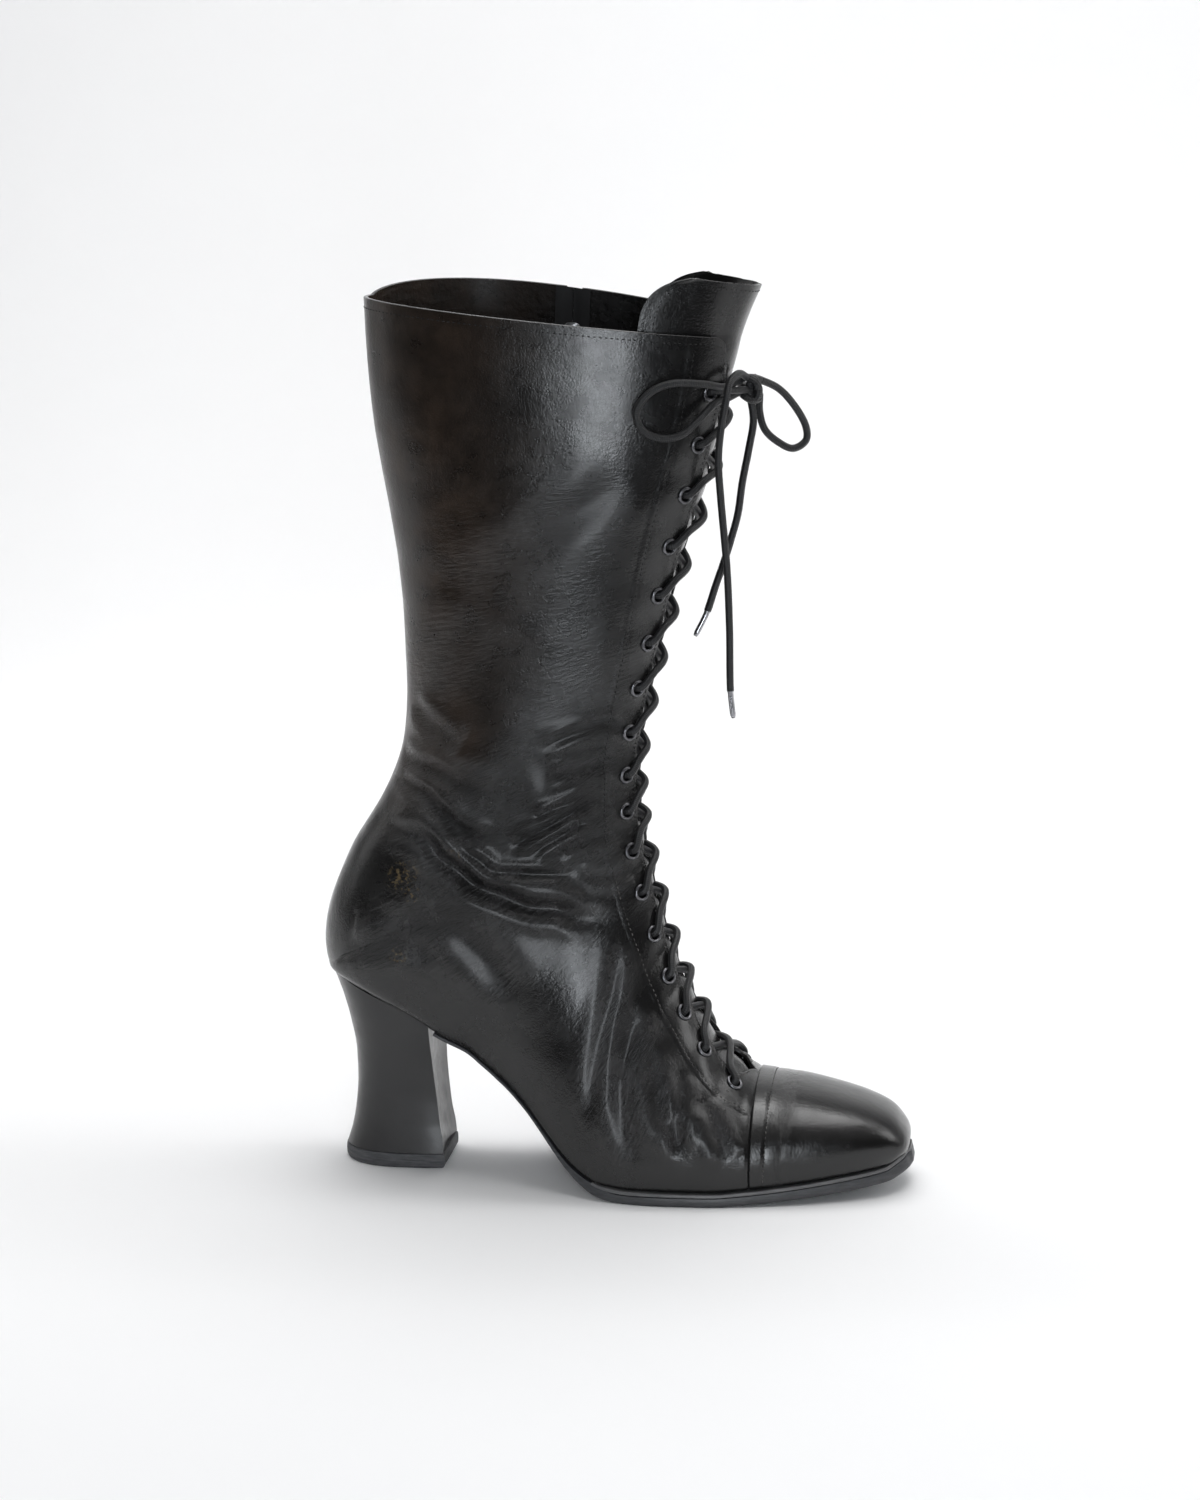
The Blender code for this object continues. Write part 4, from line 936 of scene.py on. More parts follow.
LEATHER_VALUES = ("u", "v", "worn", "brown", "flex", "sleek")
WORN = LEATHER_VALUES.index("worn")
SLEEK = LEATHER_VALUES.index("sleek")


def upper_layers(face):
    """Values that the leather reads: map, wear and browning of each point."""
    rows = face.rows[:, None]
    worn = np.maximum(face.worn, 0.55 * np.exp(-((face.runs - throat(face.rows)[:, None]) / 2.5) ** 2))
    behind = soft(face.turns, 0.75, 1.35) * soft(rows, 22.5, 25.5)
    flex = np.exp(-((rows - 20.6) / 3.6) ** 2) * np.exp(-((face.turns - 0.6) / 0.45) ** 2)
    stack = [face.runs, runs_of(face.bare[:, 30])[:, None], worn, behind, flex, soft(8.9 - rows, -2.0, 0.5)]
    return np.stack([np.broadcast_to(layer, face.runs.shape) for layer in stack], axis=-1)


def edge_values(worn):
    """Leather values of a cut edge, blank but for its wear."""
    values = np.zeros((1, 1, len(LEATHER_VALUES)))
    values[..., WORN] = worn
    return values


def edge_spots(edge):
    """Points and normals at a list of faces, rows and columns."""
    points = np.array([face.grid[i, j] for face, i, j in edge])
    return points, np.array([face.normals[i, j] for face, i, j in edge])


def build_upper(faces, look, lining):
    """Outer face and lining of both sides, with one rolled edge round the top."""
    rows = faces[-1].rows
    foot = row_index(rows, ZIP_FOOT)
    start = row_index(rows, CAP_ROW)
    outer = []
    inner = []
    for side, face in faces.items():
        face.spots = eyelet_spots(face)
        values = upper_layers(face)
        back = face.grid - face.normals * WALL
        for grid, turned, grids in ((face.grid.copy(), side < 0, outer), (back, side > 0, inner)):
            gone = open_holes(grid, face.spots)
            grids.append((grid, turned, keep_faces(face, foot, gone), values))
    left, right = faces[-1], faces[1]
    top = len(rows) - 1
    edge = [(left, i, 0) for i in range(start, top + 1)]
    edge += [(left, top, j) for j in range(1, left.grid.shape[1])]
    edge += [(right, top, j) for j in range(right.grid.shape[1] - 2, SLOT_LAST - 1, -1)]
    edge += [(right, i, SLOT_LAST) for i in range(top, foot - 1, -1)]
    edge += [(right, foot, j) for j in range(SLOT_LAST - 1, SLOT_FIRST, -1)]
    edge += [(right, i, SLOT_FIRST) for i in range(foot, top + 1)]
    edge += [(right, top, j) for j in range(SLOT_FIRST - 1, -1, -1)]
    edge += [(right, i, 0) for i in range(top - 1, start - 1, -1)]
    outer.append((rolled(*edge_spots(edge), WALL), True, None, edge_values(0.6)))
    upper = piece("upper_leather", outer, look, "black_leather", names=LEATHER_VALUES)
    piece("upper_lining", inner, lining, "black_leather", names=LEATHER_VALUES)
    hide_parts("upper")


def build_cap(look):
    """Toe cap with its raised strip and rolled back edge. Returns its stitches."""
    rows = np.concatenate([np.linspace(0.0, 5.8, 60), np.linspace(5.88, 6.9, 24)])
    sides = []
    for side in (-1, 1):
        face = Face(rows, side, [np.zeros(len(rows)), None], [64])
        strip = 0.42 * soft(rows, 6.50, 6.60)
        groove = -0.28 * np.exp(-((rows - CAP_STITCH) / 0.035) ** 2)
        crease = -0.21 * np.exp(-((rows - CAP_CREASE) / 0.10) ** 2)
        height = (strip + groove + crease)[:, None] + 0.6 * waves(face.bare)
        face.raise_by(height * soft(face.runs[:, -1:] - face.runs, 0.0, 4.0))
        sides.append(face)
    left, right = sides
    middle = (left.grid[:, 0] + right.grid[:, 0]) / 2
    grids = []
    stitches = []
    for face in sides:
        face.grid[:, 0] = middle
        face.finish()
        values = upper_layers(face)
        values[..., SLEEK] = 1.0
        values[..., WORN] = 0.7 * np.exp(-((rows - CAP_CREASE) / 0.2) ** 2)[:, None]
        grids.append((face.grid, face.side < 0, None, values))
        runs = np.linspace(0.0, face.runs[-12, -1] - 2.0, 60)
        stitches += stitched([face.at(CAP_STITCH, run) for run in runs])
    edge = [(right, -1, j) for j in range(right.grid.shape[1] - 1, -1, -1)]
    edge += [(left, -1, j) for j in range(1, left.grid.shape[1])]
    grids.append((rolled(*edge_spots(edge), CAP_WALL, 0.3), True, None, edge_values(0.8)))
    cap = piece("toe_cap_leather", grids, look, "black_leather", names=LEATHER_VALUES)
    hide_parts("toe_cap")
    return stitches


def tongue_half(row):
    """Half width of the tongue round the face at a row."""
    grown = (row - CAP_ROW) / (COLLAR_ROW - CAP_ROW)
    half = TONGUE_FOOT + (TONGUE_TOP - TONGUE_FOOT) * grown ** 1.3
    rounding = max(0.0, row - COLLAR_ROW) / TONGUE_RISE
    return half - TONGUE_ROUND * rounding ** 3


def mirrored(pair):
    """Two halves of a grid as one, from the outer edge to the inner one."""
    return np.concatenate([pair[0][:, :0:-1], pair[1]], axis=1)


def tongue_base(rows, half):
    """The tongue's grid on the bare face, its normals and its distances round."""
    points = []
    normals = []
    runs = []
    for side in (-1, 1):
        all_turns, all_runs = dense(rows, side)
        at = np.linspace(0.0, 1.0, TONGUE_COLUMNS)[None, :] * half[:, None]
        turns = np.array([np.interp(d, run, turn) for d, run, turn in zip(at, all_runs, all_turns)])
        points.append(surface(rows, side, turns))
        normals.append(facing(points[-1], side))
        runs.append(at * side)
    out = mirrored(normals)
    out[:, TONGUE_COLUMNS - 1] = (normals[0][:, 0] + normals[1][:, 0]) / 2
    out /= np.linalg.norm(out, axis=2, keepdims=True)
    return mirrored(points), out, mirrored(runs)


def tongue_height(rows, run, half):
    """How far the tongue lies out from the bare face, below it where negative."""
    tall = rows[:, None]
    sunk = TONGUE_DROP + 1.6 * soft(np.abs(run) - throat(rows)[:, None], -3.0, 6.0)
    sunk -= 0.9 * soft(9.6 - tall, 0.0, 1.6) * np.exp(-(run / 5.0) ** 2)
    place = eyelet_place(rows)[:, None]
    pulled = 0.35 * np.cos(2 * math.pi * place) * np.exp(-(run / 9.0) ** 2) * soft(31.5 - tall, 0.0, 1.0)
    groove = 0.22 * np.exp(-((np.abs(run) - half + 4.0) / 0.9) ** 2)
    slack = 0.7 * np.sin(run / 11.0 + 0.8) * soft(tall, 31.2, 32.2) * soft(half - np.abs(run), 0.0, 8.0)
    lean = TONGUE_LEAN * soft(tall, 30.2, 32.0) + TONGUE_TIP * soft(tall, 31.9, 33.1)
    return -sunk + pulled - groove + slack + lean * np.exp(-(run / 30.0) ** 2)


def build_tongue(look):
    """Tongue under the throat, with a rolled edge. Returns its stitches."""
    rows = steps_of(((7.1, 20.0, 7), (20.0, 32.0, 8), (32.0, COLLAR_ROW + TONGUE_RISE, 20)))
    half = np.array([tongue_half(row) for row in rows])
    bare, out, run = tongue_base(rows, half)
    height = tongue_height(rows, run, half[:, None])
    grid = bare + out * (height + 0.8 * waves(bare))[..., None]
    normals = facing(grid, 1)
    top = len(rows) - 1
    wide = grid.shape[1] - 1
    edge = [(i, 0) for i in range(0, top + 1)] + [(top, j) for j in range(1, wide + 1)]
    edge += [(i, wide) for i in range(top - 1, -1, -1)]
    i, j = np.transpose(edge)
    rim = rolled(grid[i, j], normals[i, j], TONGUE_WALL)
    values = np.zeros(run.shape + (len(LEATHER_VALUES),))
    values[..., 0] = run
    values[..., 1] = runs_of(bare[:, TONGUE_COLUMNS])[:, None]
    values[..., WORN] = 0.08
    back = grid - normals * TONGUE_WALL
    grids = [(grid, False, None, values), (back, True, None, values), (rim, True, None, edge_values(0.6))]
    tongue = piece("tongue_leather", grids, look, "black_leather", names=LEATHER_VALUES)
    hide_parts("tongue")
    first = row_index(rows, 30.0)
    inset = [(i, 3) for i in range(first, top - 3)] + [(top - 3, j) for j in range(4, wide - 3)]
    inset += [(i, wide - 3) for i in range(top - 3, first, -1)]
    i, j = np.transpose(inset)
    return stitch_row(grid[i, j], normals[i, j])


def revolve(centre, axis, first, profile, sides):
    """Closed ring of revolution as a grid. profile rows are radius and height."""
    second = np.cross(axis, first)
    angle = np.linspace(0.0, 2 * math.pi, sides + 1)
    out = first[None, :] * np.cos(angle)[:, None] + second[None, :] * np.sin(angle)[:, None]
    radius, height = np.transpose(profile)
    return centre + out[:, None, :] * radius[None, :, None] + axis * height[None, :, None]


def build_eyelets(faces, look):
    """Rolled rim, barrel and clenched foot of each eyelet, as one mesh."""
    profile = (
        (EYELET_HOLE, -WALL - 0.5), (EYELET_HOLE, 0.25), (2.45, 0.58), (2.75, 0.80), (3.10, 0.84),
        (3.42, 0.70), (3.66, 0.42), (EYELET_RADIUS, 0.12), (3.66, -0.12), (EYELET_BARREL, -0.12),
        (EYELET_BARREL, -WALL - 0.1), (3.1, -WALL - 0.15), (3.15, -WALL - 0.45), (2.6, -WALL - 0.62),
        (EYELET_HOLE, -WALL - 0.5),
    )
    spots = faces[-1].spots + faces[1].spots
    grids = [plain(revolve(centre, normal, up, profile, 24)) for centre, normal, up in spots]
    rings = piece("eyelet_rings", grids, look, "dark_metal")
    names = [f"eyelet_{label}_{n:02d}" for label in ("lateral", "medial") for n in range(1, EYELETS + 1)]
    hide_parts(*names)


def crossing(middle, over):
    """Where two strands pass each other above the tongue, over or under."""
    bare = bare_point(middle, 1, 0.0)
    lift = bare_point(middle, 1, 0.02) - bare
    up = bare_point(middle + 0.05, 1, 0.0) - bare
    out = np.cross(lift, up)
    out /= np.linalg.norm(out)
    return bare + out * (LACE_OVER if over else LACE_UNDER)


def lace_line(faces, start):
    """One strand of the lace, through the eyelets from the bottom to the top."""
    lowest = EYELET_ROWS[-1]
    points = [faces[start].at(lowest - 0.05, half_throat(lowest) + 2.5, -3.6)[0]]
    side = start
    for n in range(EYELETS - 1, -1, -1):
        face = faces[side]
        centre, normal, _ = face.spots[n]
        row = EYELET_ROWS[n]
        points.append(centre - normal * LACE_BEHIND)
        points.append(centre - normal * 1.2)
        points.append(face.at(row + 0.04, half_throat(row) + EYELET_INSET - 1.6, 1.2)[0])
        if n == 0:
            break
        above = EYELET_ROWS[n - 1]
        points.append(face.at(row + 0.26 * (above - row), half_throat(row) + 1.2, 1.7)[0])
        points.append(crossing((row + above) / 2, (n % 2 == 0) == (start < 0)))
        side = -side
        far_half = half_throat(above)
        points.append(faces[side].at(above - 0.16 * (above - row), far_half + 1.2, -LACE_BEHIND)[0])
        points.append(faces[side].at(above, far_half + EYELET_INSET - 1.5, -3.9)[0])
    knot = np.array((53.6, side * 1.4, 335.6))
    points.append(points[-1] * 0.5 + knot * 0.5 + np.array((0.4, side * 1.6, 0.2)))
    points.append(knot)
    return smooth_line(points, 0.9)


def build_lace(faces, look):
    lines = [lace_line(faces, side) for side in (-1, 1)]
    lace = tubes("lace_strands", lines, LACE / 2, look, "lace_cotton")
    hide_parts("lace_crossings")


def build_bow(look, metal):
    """Knot, two loops and two ends with their tips."""
    wraps = []
    for k in range(73):
        angle = 2 * math.pi * k / 24
        away = (1.7 * math.cos(angle) + 0.6, -3.2 + 6.4 * k / 72, 4.6 * math.sin(angle))
        wraps.append(np.array(KNOT_CENTRE) + away)
    lines = [smooth_line(points, 0.8) for points in (wraps, *KNOT_STRANDS)]
    knot = tubes("knot_strands", lines, LACE / 2, look, "lace_cotton")
    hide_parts("lace_knot")
    cords = (
        ("loop_lateral", LOOP_LATERAL, "lace_loop_lateral", None),
        ("loop_medial", LOOP_MEDIAL, "lace_loop_medial", None),
        ("end_lateral", END_LATERAL, "lace_end_lateral", "tip_lateral"),
        ("end_medial", END_MEDIAL, "lace_end_medial", "tip_medial"),
    )
    for name, points, node, tip in cords:
        line = smooth_line(points, 0.9)
        if tip:
            runs = runs_of(line)
            cut = int(np.searchsorted(runs, runs[-1] - TIP_LENGTH))
            radius = np.full(len(line) - cut, 1.22)
            radius[:2] = 1.42
            radius[-2:] = (1.05, 0.8)
            end = tubes(tip, [line[cut:]], radius, metal, "zip_metal", 16)
            line = line[:cut + 2]
        cord = tubes(name, [line], LACE / 2, look, "lace_cotton")
        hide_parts(node)


def slab(name, stations, levels, look, slot):
    """Sole layer from stations along x. levels rows are rise and inset."""
    rings = []
    for rise, inset in levels:
        left = []
        right = []
        for x in stations:
            slope = sole_slope(x)
            h = rise(x)
            px = x - h * math.sin(slope)
            pz = underside(x) + h * math.cos(slope)
            left.append((px, -(outline(x, -1) - inset), pz))
            right.append((px, outline(x, 1) - inset, pz))
        rings.append(np.array(left + right[::-1] + left[:1]))
    grid = np.stack(rings)
    count = len(stations)
    share = np.linspace(0.0, 1.0, 9)[:, None, None]
    grids = [plain(grid)]
    for k in (0, -1):
        left = grid[k, :count]
        right = grid[k, count:2 * count][::-1]
        grids.append(plain(left[None] * (1 - share) + right[None] * share, k == -1))
    return piece(name, grids, look, slot, welded=True, soft_angle=40)


def place_x(share):
    """Place along the boot of a share of its length from the heel."""
    return (share - 0.5) * LENGTH


def build_sole(sole_look, welt_look):
    """Outsole, thinner under the forefoot, and the midsole on it."""
    step = place_x(MIDSOLE_BACK) - 0.6
    tip_start = place_x(0.94)
    waist = np.linspace(place_x(SOLE_BACK), step - 0.5, 70)
    fore = np.linspace(step, tip_start, 90)
    tip = tip_start + (LENGTH / 2 - tip_start) * np.sin(np.linspace(0.0, math.pi / 2, 40))[1:]

    def top(x):
        blend = soft(np.array([x]), step + 0.4, step + 14.0)[0]
        return (sole_wall(x) - SEAM) * (1 - blend) + (sole_wall(x) - MIDSOLE_WALL - 0.3) * blend

    levels = (
        (lambda x: 0.0, 0.9), (lambda x: 0.10 * top(x), 0.35), (lambda x: 0.26 * top(x), 0.05),
        (lambda x: 0.5 * top(x), 0.0), (lambda x: 0.86 * top(x), 0.0), (lambda x: top(x), 0.22),
    )
    sole = slab("outsole_leather", np.concatenate([waist, fore, tip]), levels, sole_look, "sole_leather")
    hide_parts("outsole")
    levels = (
        (lambda x: sole_wall(x) - MIDSOLE_WALL, 0.35), (lambda x: sole_wall(x) - 0.75 * MIDSOLE_WALL, 0.05),
        (lambda x: sole_wall(x) - 0.3 * MIDSOLE_WALL, 0.05), (lambda x: sole_wall(x), 0.4),
    )
    stations = np.concatenate([np.linspace(place_x(MIDSOLE_BACK), tip_start, 90), tip])
    welt = slab("midsole_leather", stations, levels, welt_look, "welt_leather")
    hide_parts("midsole")


def heel_section(share):
    """Half section of the heel at a share of its height: x and half widths."""
    back = place_x(smooth_share(HEEL, share, "back"))
    breast = place_x(smooth_share(HEEL, share, "breast"))
    half = smooth_share(HEEL, share, "half") * BALL
    along = (1 - np.cos(np.linspace(0.0, math.pi, HEEL_POINTS))) / 2
    square = 1 - (1 - np.minimum(1.0, along / 0.55)) ** 2.4
    wide = np.maximum(half * np.sqrt(square), 0.0)
    wide = wide * (1 - 0.10 * np.maximum(0.0, (along - 0.55) / 0.45) ** 3)
    return back + (breast - back) * along, wide


def heel_ring(x, wide, z, hollow=0.0):
    """Outline of the heel at one level, with its breast drawn back."""
    left = np.stack([x, -wide, z], axis=1)
    right = np.stack([x, wide * 0.96, z], axis=1)[::-1]
    across = np.linspace(0.0, 1.0, 12)[1:-1, None]
    breast = left[-1] * (1 - across) + right[0] * across
    breast[:, 0] -= hollow * np.sin(math.pi * across[:, 0])
    return np.concatenate([left, breast, right])


def capped(grid, values, steps):
    """A grid of rings with a cover on its first and its last ring."""
    grids = [(grid, False, None, values)]
    for k in (0, -1):
        middle = grid[k].mean(axis=0)
        cover = np.stack([middle + (grid[k] - middle) * s for s in np.linspace(0.02, 1.0, steps)])
        grids.append(plain(cover, k == -1))
    return grids


def build_heel(look, rubber):
    """Covered heel block and the rubber lift under it."""
    base = LIFT_HEIGHT + 0.3
    shares = np.linspace(0.0, 1.0, 40)
    rings = []
    for share in shares:
        x, wide = heel_section(share)
        seat = np.array([feather(v) - SEAM for v in x])
        rings.append(heel_ring(x, wide, base + (seat - base) * share, 1.5 * min(1.0, 3 * (1 - share))))
    grid = np.stack(rings)
    values = np.zeros(grid.shape[:2] + (2,))
    values[:, HEEL_POINTS - 2:HEEL_POINTS + 1, 0] = 1.0
    values[:, -HEEL_POINTS - 1:-HEEL_POINTS + 2, 0] = 1.0
    values[..., 1] = shares[:, None]
    names = ("edge", "rise")
    grids = capped(grid, values, 6)
    heel = piece("heel_cover", grids, look, "heel_leather", names, welded=True, soft_angle=38)
    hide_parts("heel")
    x, wide = heel_section(0.0)
    middle = (x[0] + x[-1]) / 2
    levels = ((0.0, 0.975), (0.06, 1.0), (0.2, 1.02), (0.5, 1.025), (0.8, 1.022), (0.93, 1.015), (1.0, 1.0))
    rings = []
    for height, grow in levels:
        z = np.full(len(x), height * LIFT_HEIGHT)
        rings.append(heel_ring(middle + (x - middle) * grow, wide * grow, z))
    grids = capped(np.stack(rings), BLANK, 8)
    lift = piece("top_lift_rubber", grids, rubber, "heel_rubber", welded=True, soft_angle=38)
    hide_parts("top_lift")


def boxes_along(spots, size):
    """Small rounded blocks: spots rows are centre, along, across and out."""
    long, wide, high = size
    half = ((-0.5, 0.0), (-0.5, 0.55), (-0.32, 0.9), (0.0, 1.0))
    profile = half + tuple((-a, h) for a, h in half[-2::-1]) + half[:1]
    levels = ((-0.5, 0.01), (-0.5, 0.86), (-0.42, 1.0), (0.42, 1.0), (0.5, 0.86), (0.5, 0.01))
    grids = []
    for centre, along, across, out in spots:
        rings = []
        for share, scale in levels:
            middle = centre + along * share * long
            rings.append([middle + across * a * wide * scale + out * h * high * scale for a, h in profile])
        grids.append(plain(np.array(rings)))
    return grids


def zip_line(face, rows):
    """Centre, up, round and outward directions along the zip."""
    spots = []
    for row in rows:
        run = face.zip_place(row)
        centre, normal = face.at(row, run)
        ahead = face.at(min(row + 0.08, COLLAR_ROW), run)[0] - face.at(min(row, COLLAR_ROW - 0.08), run)[0]
        ahead /= np.linalg.norm(ahead)
        spots.append((centre, ahead, np.cross(normal, ahead), normal))
    return spots


def build_zip(face, metal, cloth):
    """Tapes and teeth of the zip on the inner side."""
    line = zip_line(face, np.linspace(ZIP_FOOT + 0.02, COLLAR_ROW, 1201))
    runs = runs_of(np.array([spot[0] for spot in line]))
    profile = ((-7.4, -4.4), (-5.0, -4.25), (-3.0, -3.4), (-1.2, -2.5), (-0.25, -2.3), (-0.05, -2.6))
    tape = []
    for turn in (-1, 1):
        for drop, turned in ((0.0, turn > 0), (0.5, turn < 0)):
            shape = [(a * turn, d - drop) for a, d in profile]
            grid = np.array([[c + r * a + n * d for a, d in shape] for c, _, r, n in line[::12]])
            u = np.broadcast_to([a for a, _ in shape], grid.shape[:2])
            v = np.broadcast_to(runs[::12][:, None], grid.shape[:2])
            tape.append((grid, turned, None, np.stack([u, v], axis=-1)))
    tapes = piece("zip_tapes", tape, cloth, "zip_metal", names=("u", "v"))
    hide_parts("zip_chain")
    teeth = []
    stop = runs[-1] - 3.5
    count = int(stop / TOOTH_PITCH)
    for k in range(count):
        i = int(np.searchsorted(runs, (k + 0.5) * stop / count))
        centre, ahead, across, normal = line[i]
        reach = 0.75 if k % 2 else -0.75
        teeth.append((centre + across * reach - normal * 2.4, ahead, across, normal))
    piece("zip_teeth", boxes_along(teeth, (0.95, 3.2, 1.35)), metal, "zip_metal", soft_angle=50)


def plate(profile, half, thick, centre):
    """Rounded plate from rows of height and half width, facing the inner side."""
    levels = ((-1.0, 0.0), (-1.0, 0.9), (-0.6, 1.0), (0.6, 1.0), (1.0, 0.9), (1.0, 0.0))
    rings = []
    for level, grow in levels:
        y = thick * level
        ring = [(w * half * grow, y, z) for z, w in profile]
        ring += [(-w * half * grow, y, z) for z, w in reversed(profile)]
        rings.append(np.array(ring + ring[:1]) + centre)
    return plain(np.stack(rings), True)


def build_slider(pivot, metal):
    """Two plates with a neck between them, and the bridge for the pull."""
    top = pivot - PIVOT_AWAY
    body = (
        (3.1, 0.15), (3.0, 0.62), (2.2, 0.95), (0.2, 1.0),
        (-3.0, 0.94), (-6.2, 0.72), (-7.0, 0.45), (-7.1, 0.1),
    )
    neck = ((2.9, 0.5), (2.6, 1.0), (-0.2, 1.0), (-0.6, 0.5))
    bridge = (
        (0.0, 1.6, 3.0), (0.0, 3.0, 3.3), (0.0, 4.9, 2.9), (0.0, 5.3, 1.4),
        (0.0, 4.4, -0.4), (0.0, 2.6, -1.8), (0.0, 1.6, -2.3),
    )
    grids = [
        plate(body, 3.2, 0.75, top + (0.0, 1.35, 0.0)),
        plate(body, 3.2, 0.6, top + (0.0, -5.9, 0.0)),
        plate(neck, 0.9, 3.4, top + (0.0, -2.3, 0.0)),
        plain(tube_grid(smooth_line([top + point for point in bridge], 0.4), 0.62, 10)[0]),
    ]
    slider = piece("slider_body", grids, metal, "zip_metal", soft_angle=45)
    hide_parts("zip_slider")


def build_pull(pivot, metal):
    """Tag on a ring, hanging from the slider's bridge, on its own body."""
    turn = np.linspace(0, 2 * math.pi, 41)
    ring = np.array([pivot + (2.0 * math.cos(a), 0.15, -1.4 + 2.6 * math.sin(a)) for a in turn])
    tag = []
    for z in np.linspace(0.0, 1.0, 22):
        w = 0.62 + 0.38 * math.sin(math.pi * min(1.0, 0.25 + 0.75 * z)) ** 0.7
        if z > 0.9:
            w *= math.sqrt(max(0.02, 1 - ((z - 0.9) / 0.1) ** 2))
        if z < 0.08:
            w *= 0.4 + 0.6 * math.sqrt(z / 0.08)
        tag.append((-3.0 - z * (PULL_LENGTH - 3.1), w))
    panel = [(z, w * 0.62) for z, w in tag[4:-4]]
    grids = [
        plain(tube_grid(ring, 0.5, 10, close=False)[0]),
        plate(tag, 2.5, 0.5, pivot + (0.0, 0.05, 0.0)),
        plate(panel, 2.5, 0.15, pivot + (0.0, 0.65, 0.0)),
    ]
    pull = piece("pull_tag", grids, metal, "zip_metal", body="pull", soft_angle=45)
    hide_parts("zip_pull")


def build_stitching(faces, extra, thread):
    """Seams of the eyestays, collar and zip with the extra ones, as one mesh."""
    grids = list(extra)
    rows = np.linspace(7.15, 31.7, 900)
    for side, face in faces.items():
        stays = stay_edge(rows)
        grids += stitched([face.at(row, stay - SEAM_INSET) for row, stay in zip(rows, stays)])
        grids += stitched([face.at(row, half_throat(row) + SEAM_INSET) for row in rows[8:]])
        stretch = np.linspace(face.runs[-1, 0] + 4.0, face.runs[-1, -1] - 0.3, 260)
        parts = [stretch]
        if side > 0:
            middle = float(face.zip_run[-1])
            parts = [stretch[stretch < middle - 5.5], stretch[stretch > middle + 5.5]]
        for part in parts:
            grids += stitched([face.at(HEM_ROW, run) for run in part])
    face = faces[1]
    rows = np.linspace(ZIP_FOOT - 0.15, 31.75, 500)
    for away in (-5.4, 5.4):
        grids += stitched([face.at(row, face.zip_place(row) + away) for row in rows])
    middle = face.zip_place(ZIP_FOOT)
    grids += stitched([face.at(ZIP_FOOT - 0.22, middle + away) for away in np.linspace(-5.2, 5.2, 24)])
    piece("stitching", grids, thread, "lace_cotton")


def is_link(value):
    return hasattr(value, "links")


def node(look, kind, inputs=None, **settings):
    """A new node with its settings. Its inputs are links or plain values."""
    made = look.node_tree.nodes.new(kind)
    for name, value in settings.items():
        setattr(made, name, value)
    for name, value in (inputs or {}).items():
        if is_link(value):
            look.node_tree.links.new(value, made.inputs[name])
        else:
            made.inputs[name].default_value = value
    return made


def new_look(name, colour, roughness, more=None):
    """A material and its shader, with more of the shader's inputs if given."""
    look = bpy.data.materials.new(name)
    look.use_nodes = True
    shader = look.node_tree.nodes["Principled BSDF"]
    values = {"Base Color": (*colour, 1.0), "Roughness": roughness, **(more or {})}
    for label, value in values.items():
        shader.inputs[label].default_value = value
    return look, shader


def feed(look, shader, colour, roughness=None, bumps=()):
    """Links colour, roughness and a chain of bumps to the shader. Each bump is
    a height source, a strength and a distance in millimetres."""
    sources = {"Base Color": colour, "Roughness": roughness, "Normal": None}
    for height, strength, distance in bumps:
        inputs = {"Height": height, "Strength": strength, "Distance": distance * MM}
        if sources["Normal"] is not None:
            inputs["Normal"] = sources["Normal"]
        sources["Normal"] = node(look, "ShaderNodeBump", inputs).outputs["Normal"]
    for label, source in sources.items():
        if source is not None:
            look.node_tree.links.new(source, shader.inputs[label])
    return look


def place_in(look):
    return node(look, "ShaderNodeTexCoord").outputs["Object"]


def map_of(look):
    return node(look, "ShaderNodeUVMap", uv_map="along").outputs["UV"]


def axes_of(look, vector):
    return node(look, "ShaderNodeSeparateXYZ", {0: vector}).outputs


def attribute(look, name):
    return node(look, "ShaderNodeAttribute", attribute_name=name).outputs["Fac"]


def stretched(look, source, scale):
    return node(look, "ShaderNodeMapping", {"Vector": source, "Scale": scale}).outputs["Vector"]


def noise(look, vector, scale, detail=4.0, rough=0.55):
    inputs = {"Vector": vector, "Scale": scale, "Detail": detail, "Roughness": rough}
    return node(look, "ShaderNodeTexNoise", inputs).outputs["Fac"]


def ramp(look, source, low, high, to_low=0.0, to_high=1.0):
    inputs = {"Value": source, "From Min": low, "From Max": high, "To Min": to_low, "To Max": to_high}
    return node(look, "ShaderNodeMapRange", inputs).outputs["Result"]


def maths(look, operation, first, second=0.0):
    return node(look, "ShaderNodeMath", {0: first, 1: second}, operation=operation).outputs[0]


def times(look, first, second):
    return maths(look, "MULTIPLY", first, second)


def plus(look, first, second):
    return maths(look, "ADD", first, second)


def mixed(look, share, first, second):
    colours = [value if is_link(value) else (*value, 1.0) for value in (first, second)]
    return node(look, "ShaderNodeMix", {0: share, 6: colours[0], 7: colours[1]}, data_type="RGBA").outputs[2]


def scuff(look, place, spot, radius):
    """Share of a broken scuff mark round a spot given in millimetres."""
    centre = [(a + b) * MM for a, b in zip(spot, SHIFT)]
    away = node(look, "ShaderNodeVectorMath", {0: place, 1: centre}, operation="DISTANCE")
    near = ramp(look, away.outputs["Value"], radius * MM, 0.3 * radius * MM)
    return times(look, near, ramp(look, noise(look, place, 520.0, 6.0, 0.7), 0.53, 0.60))


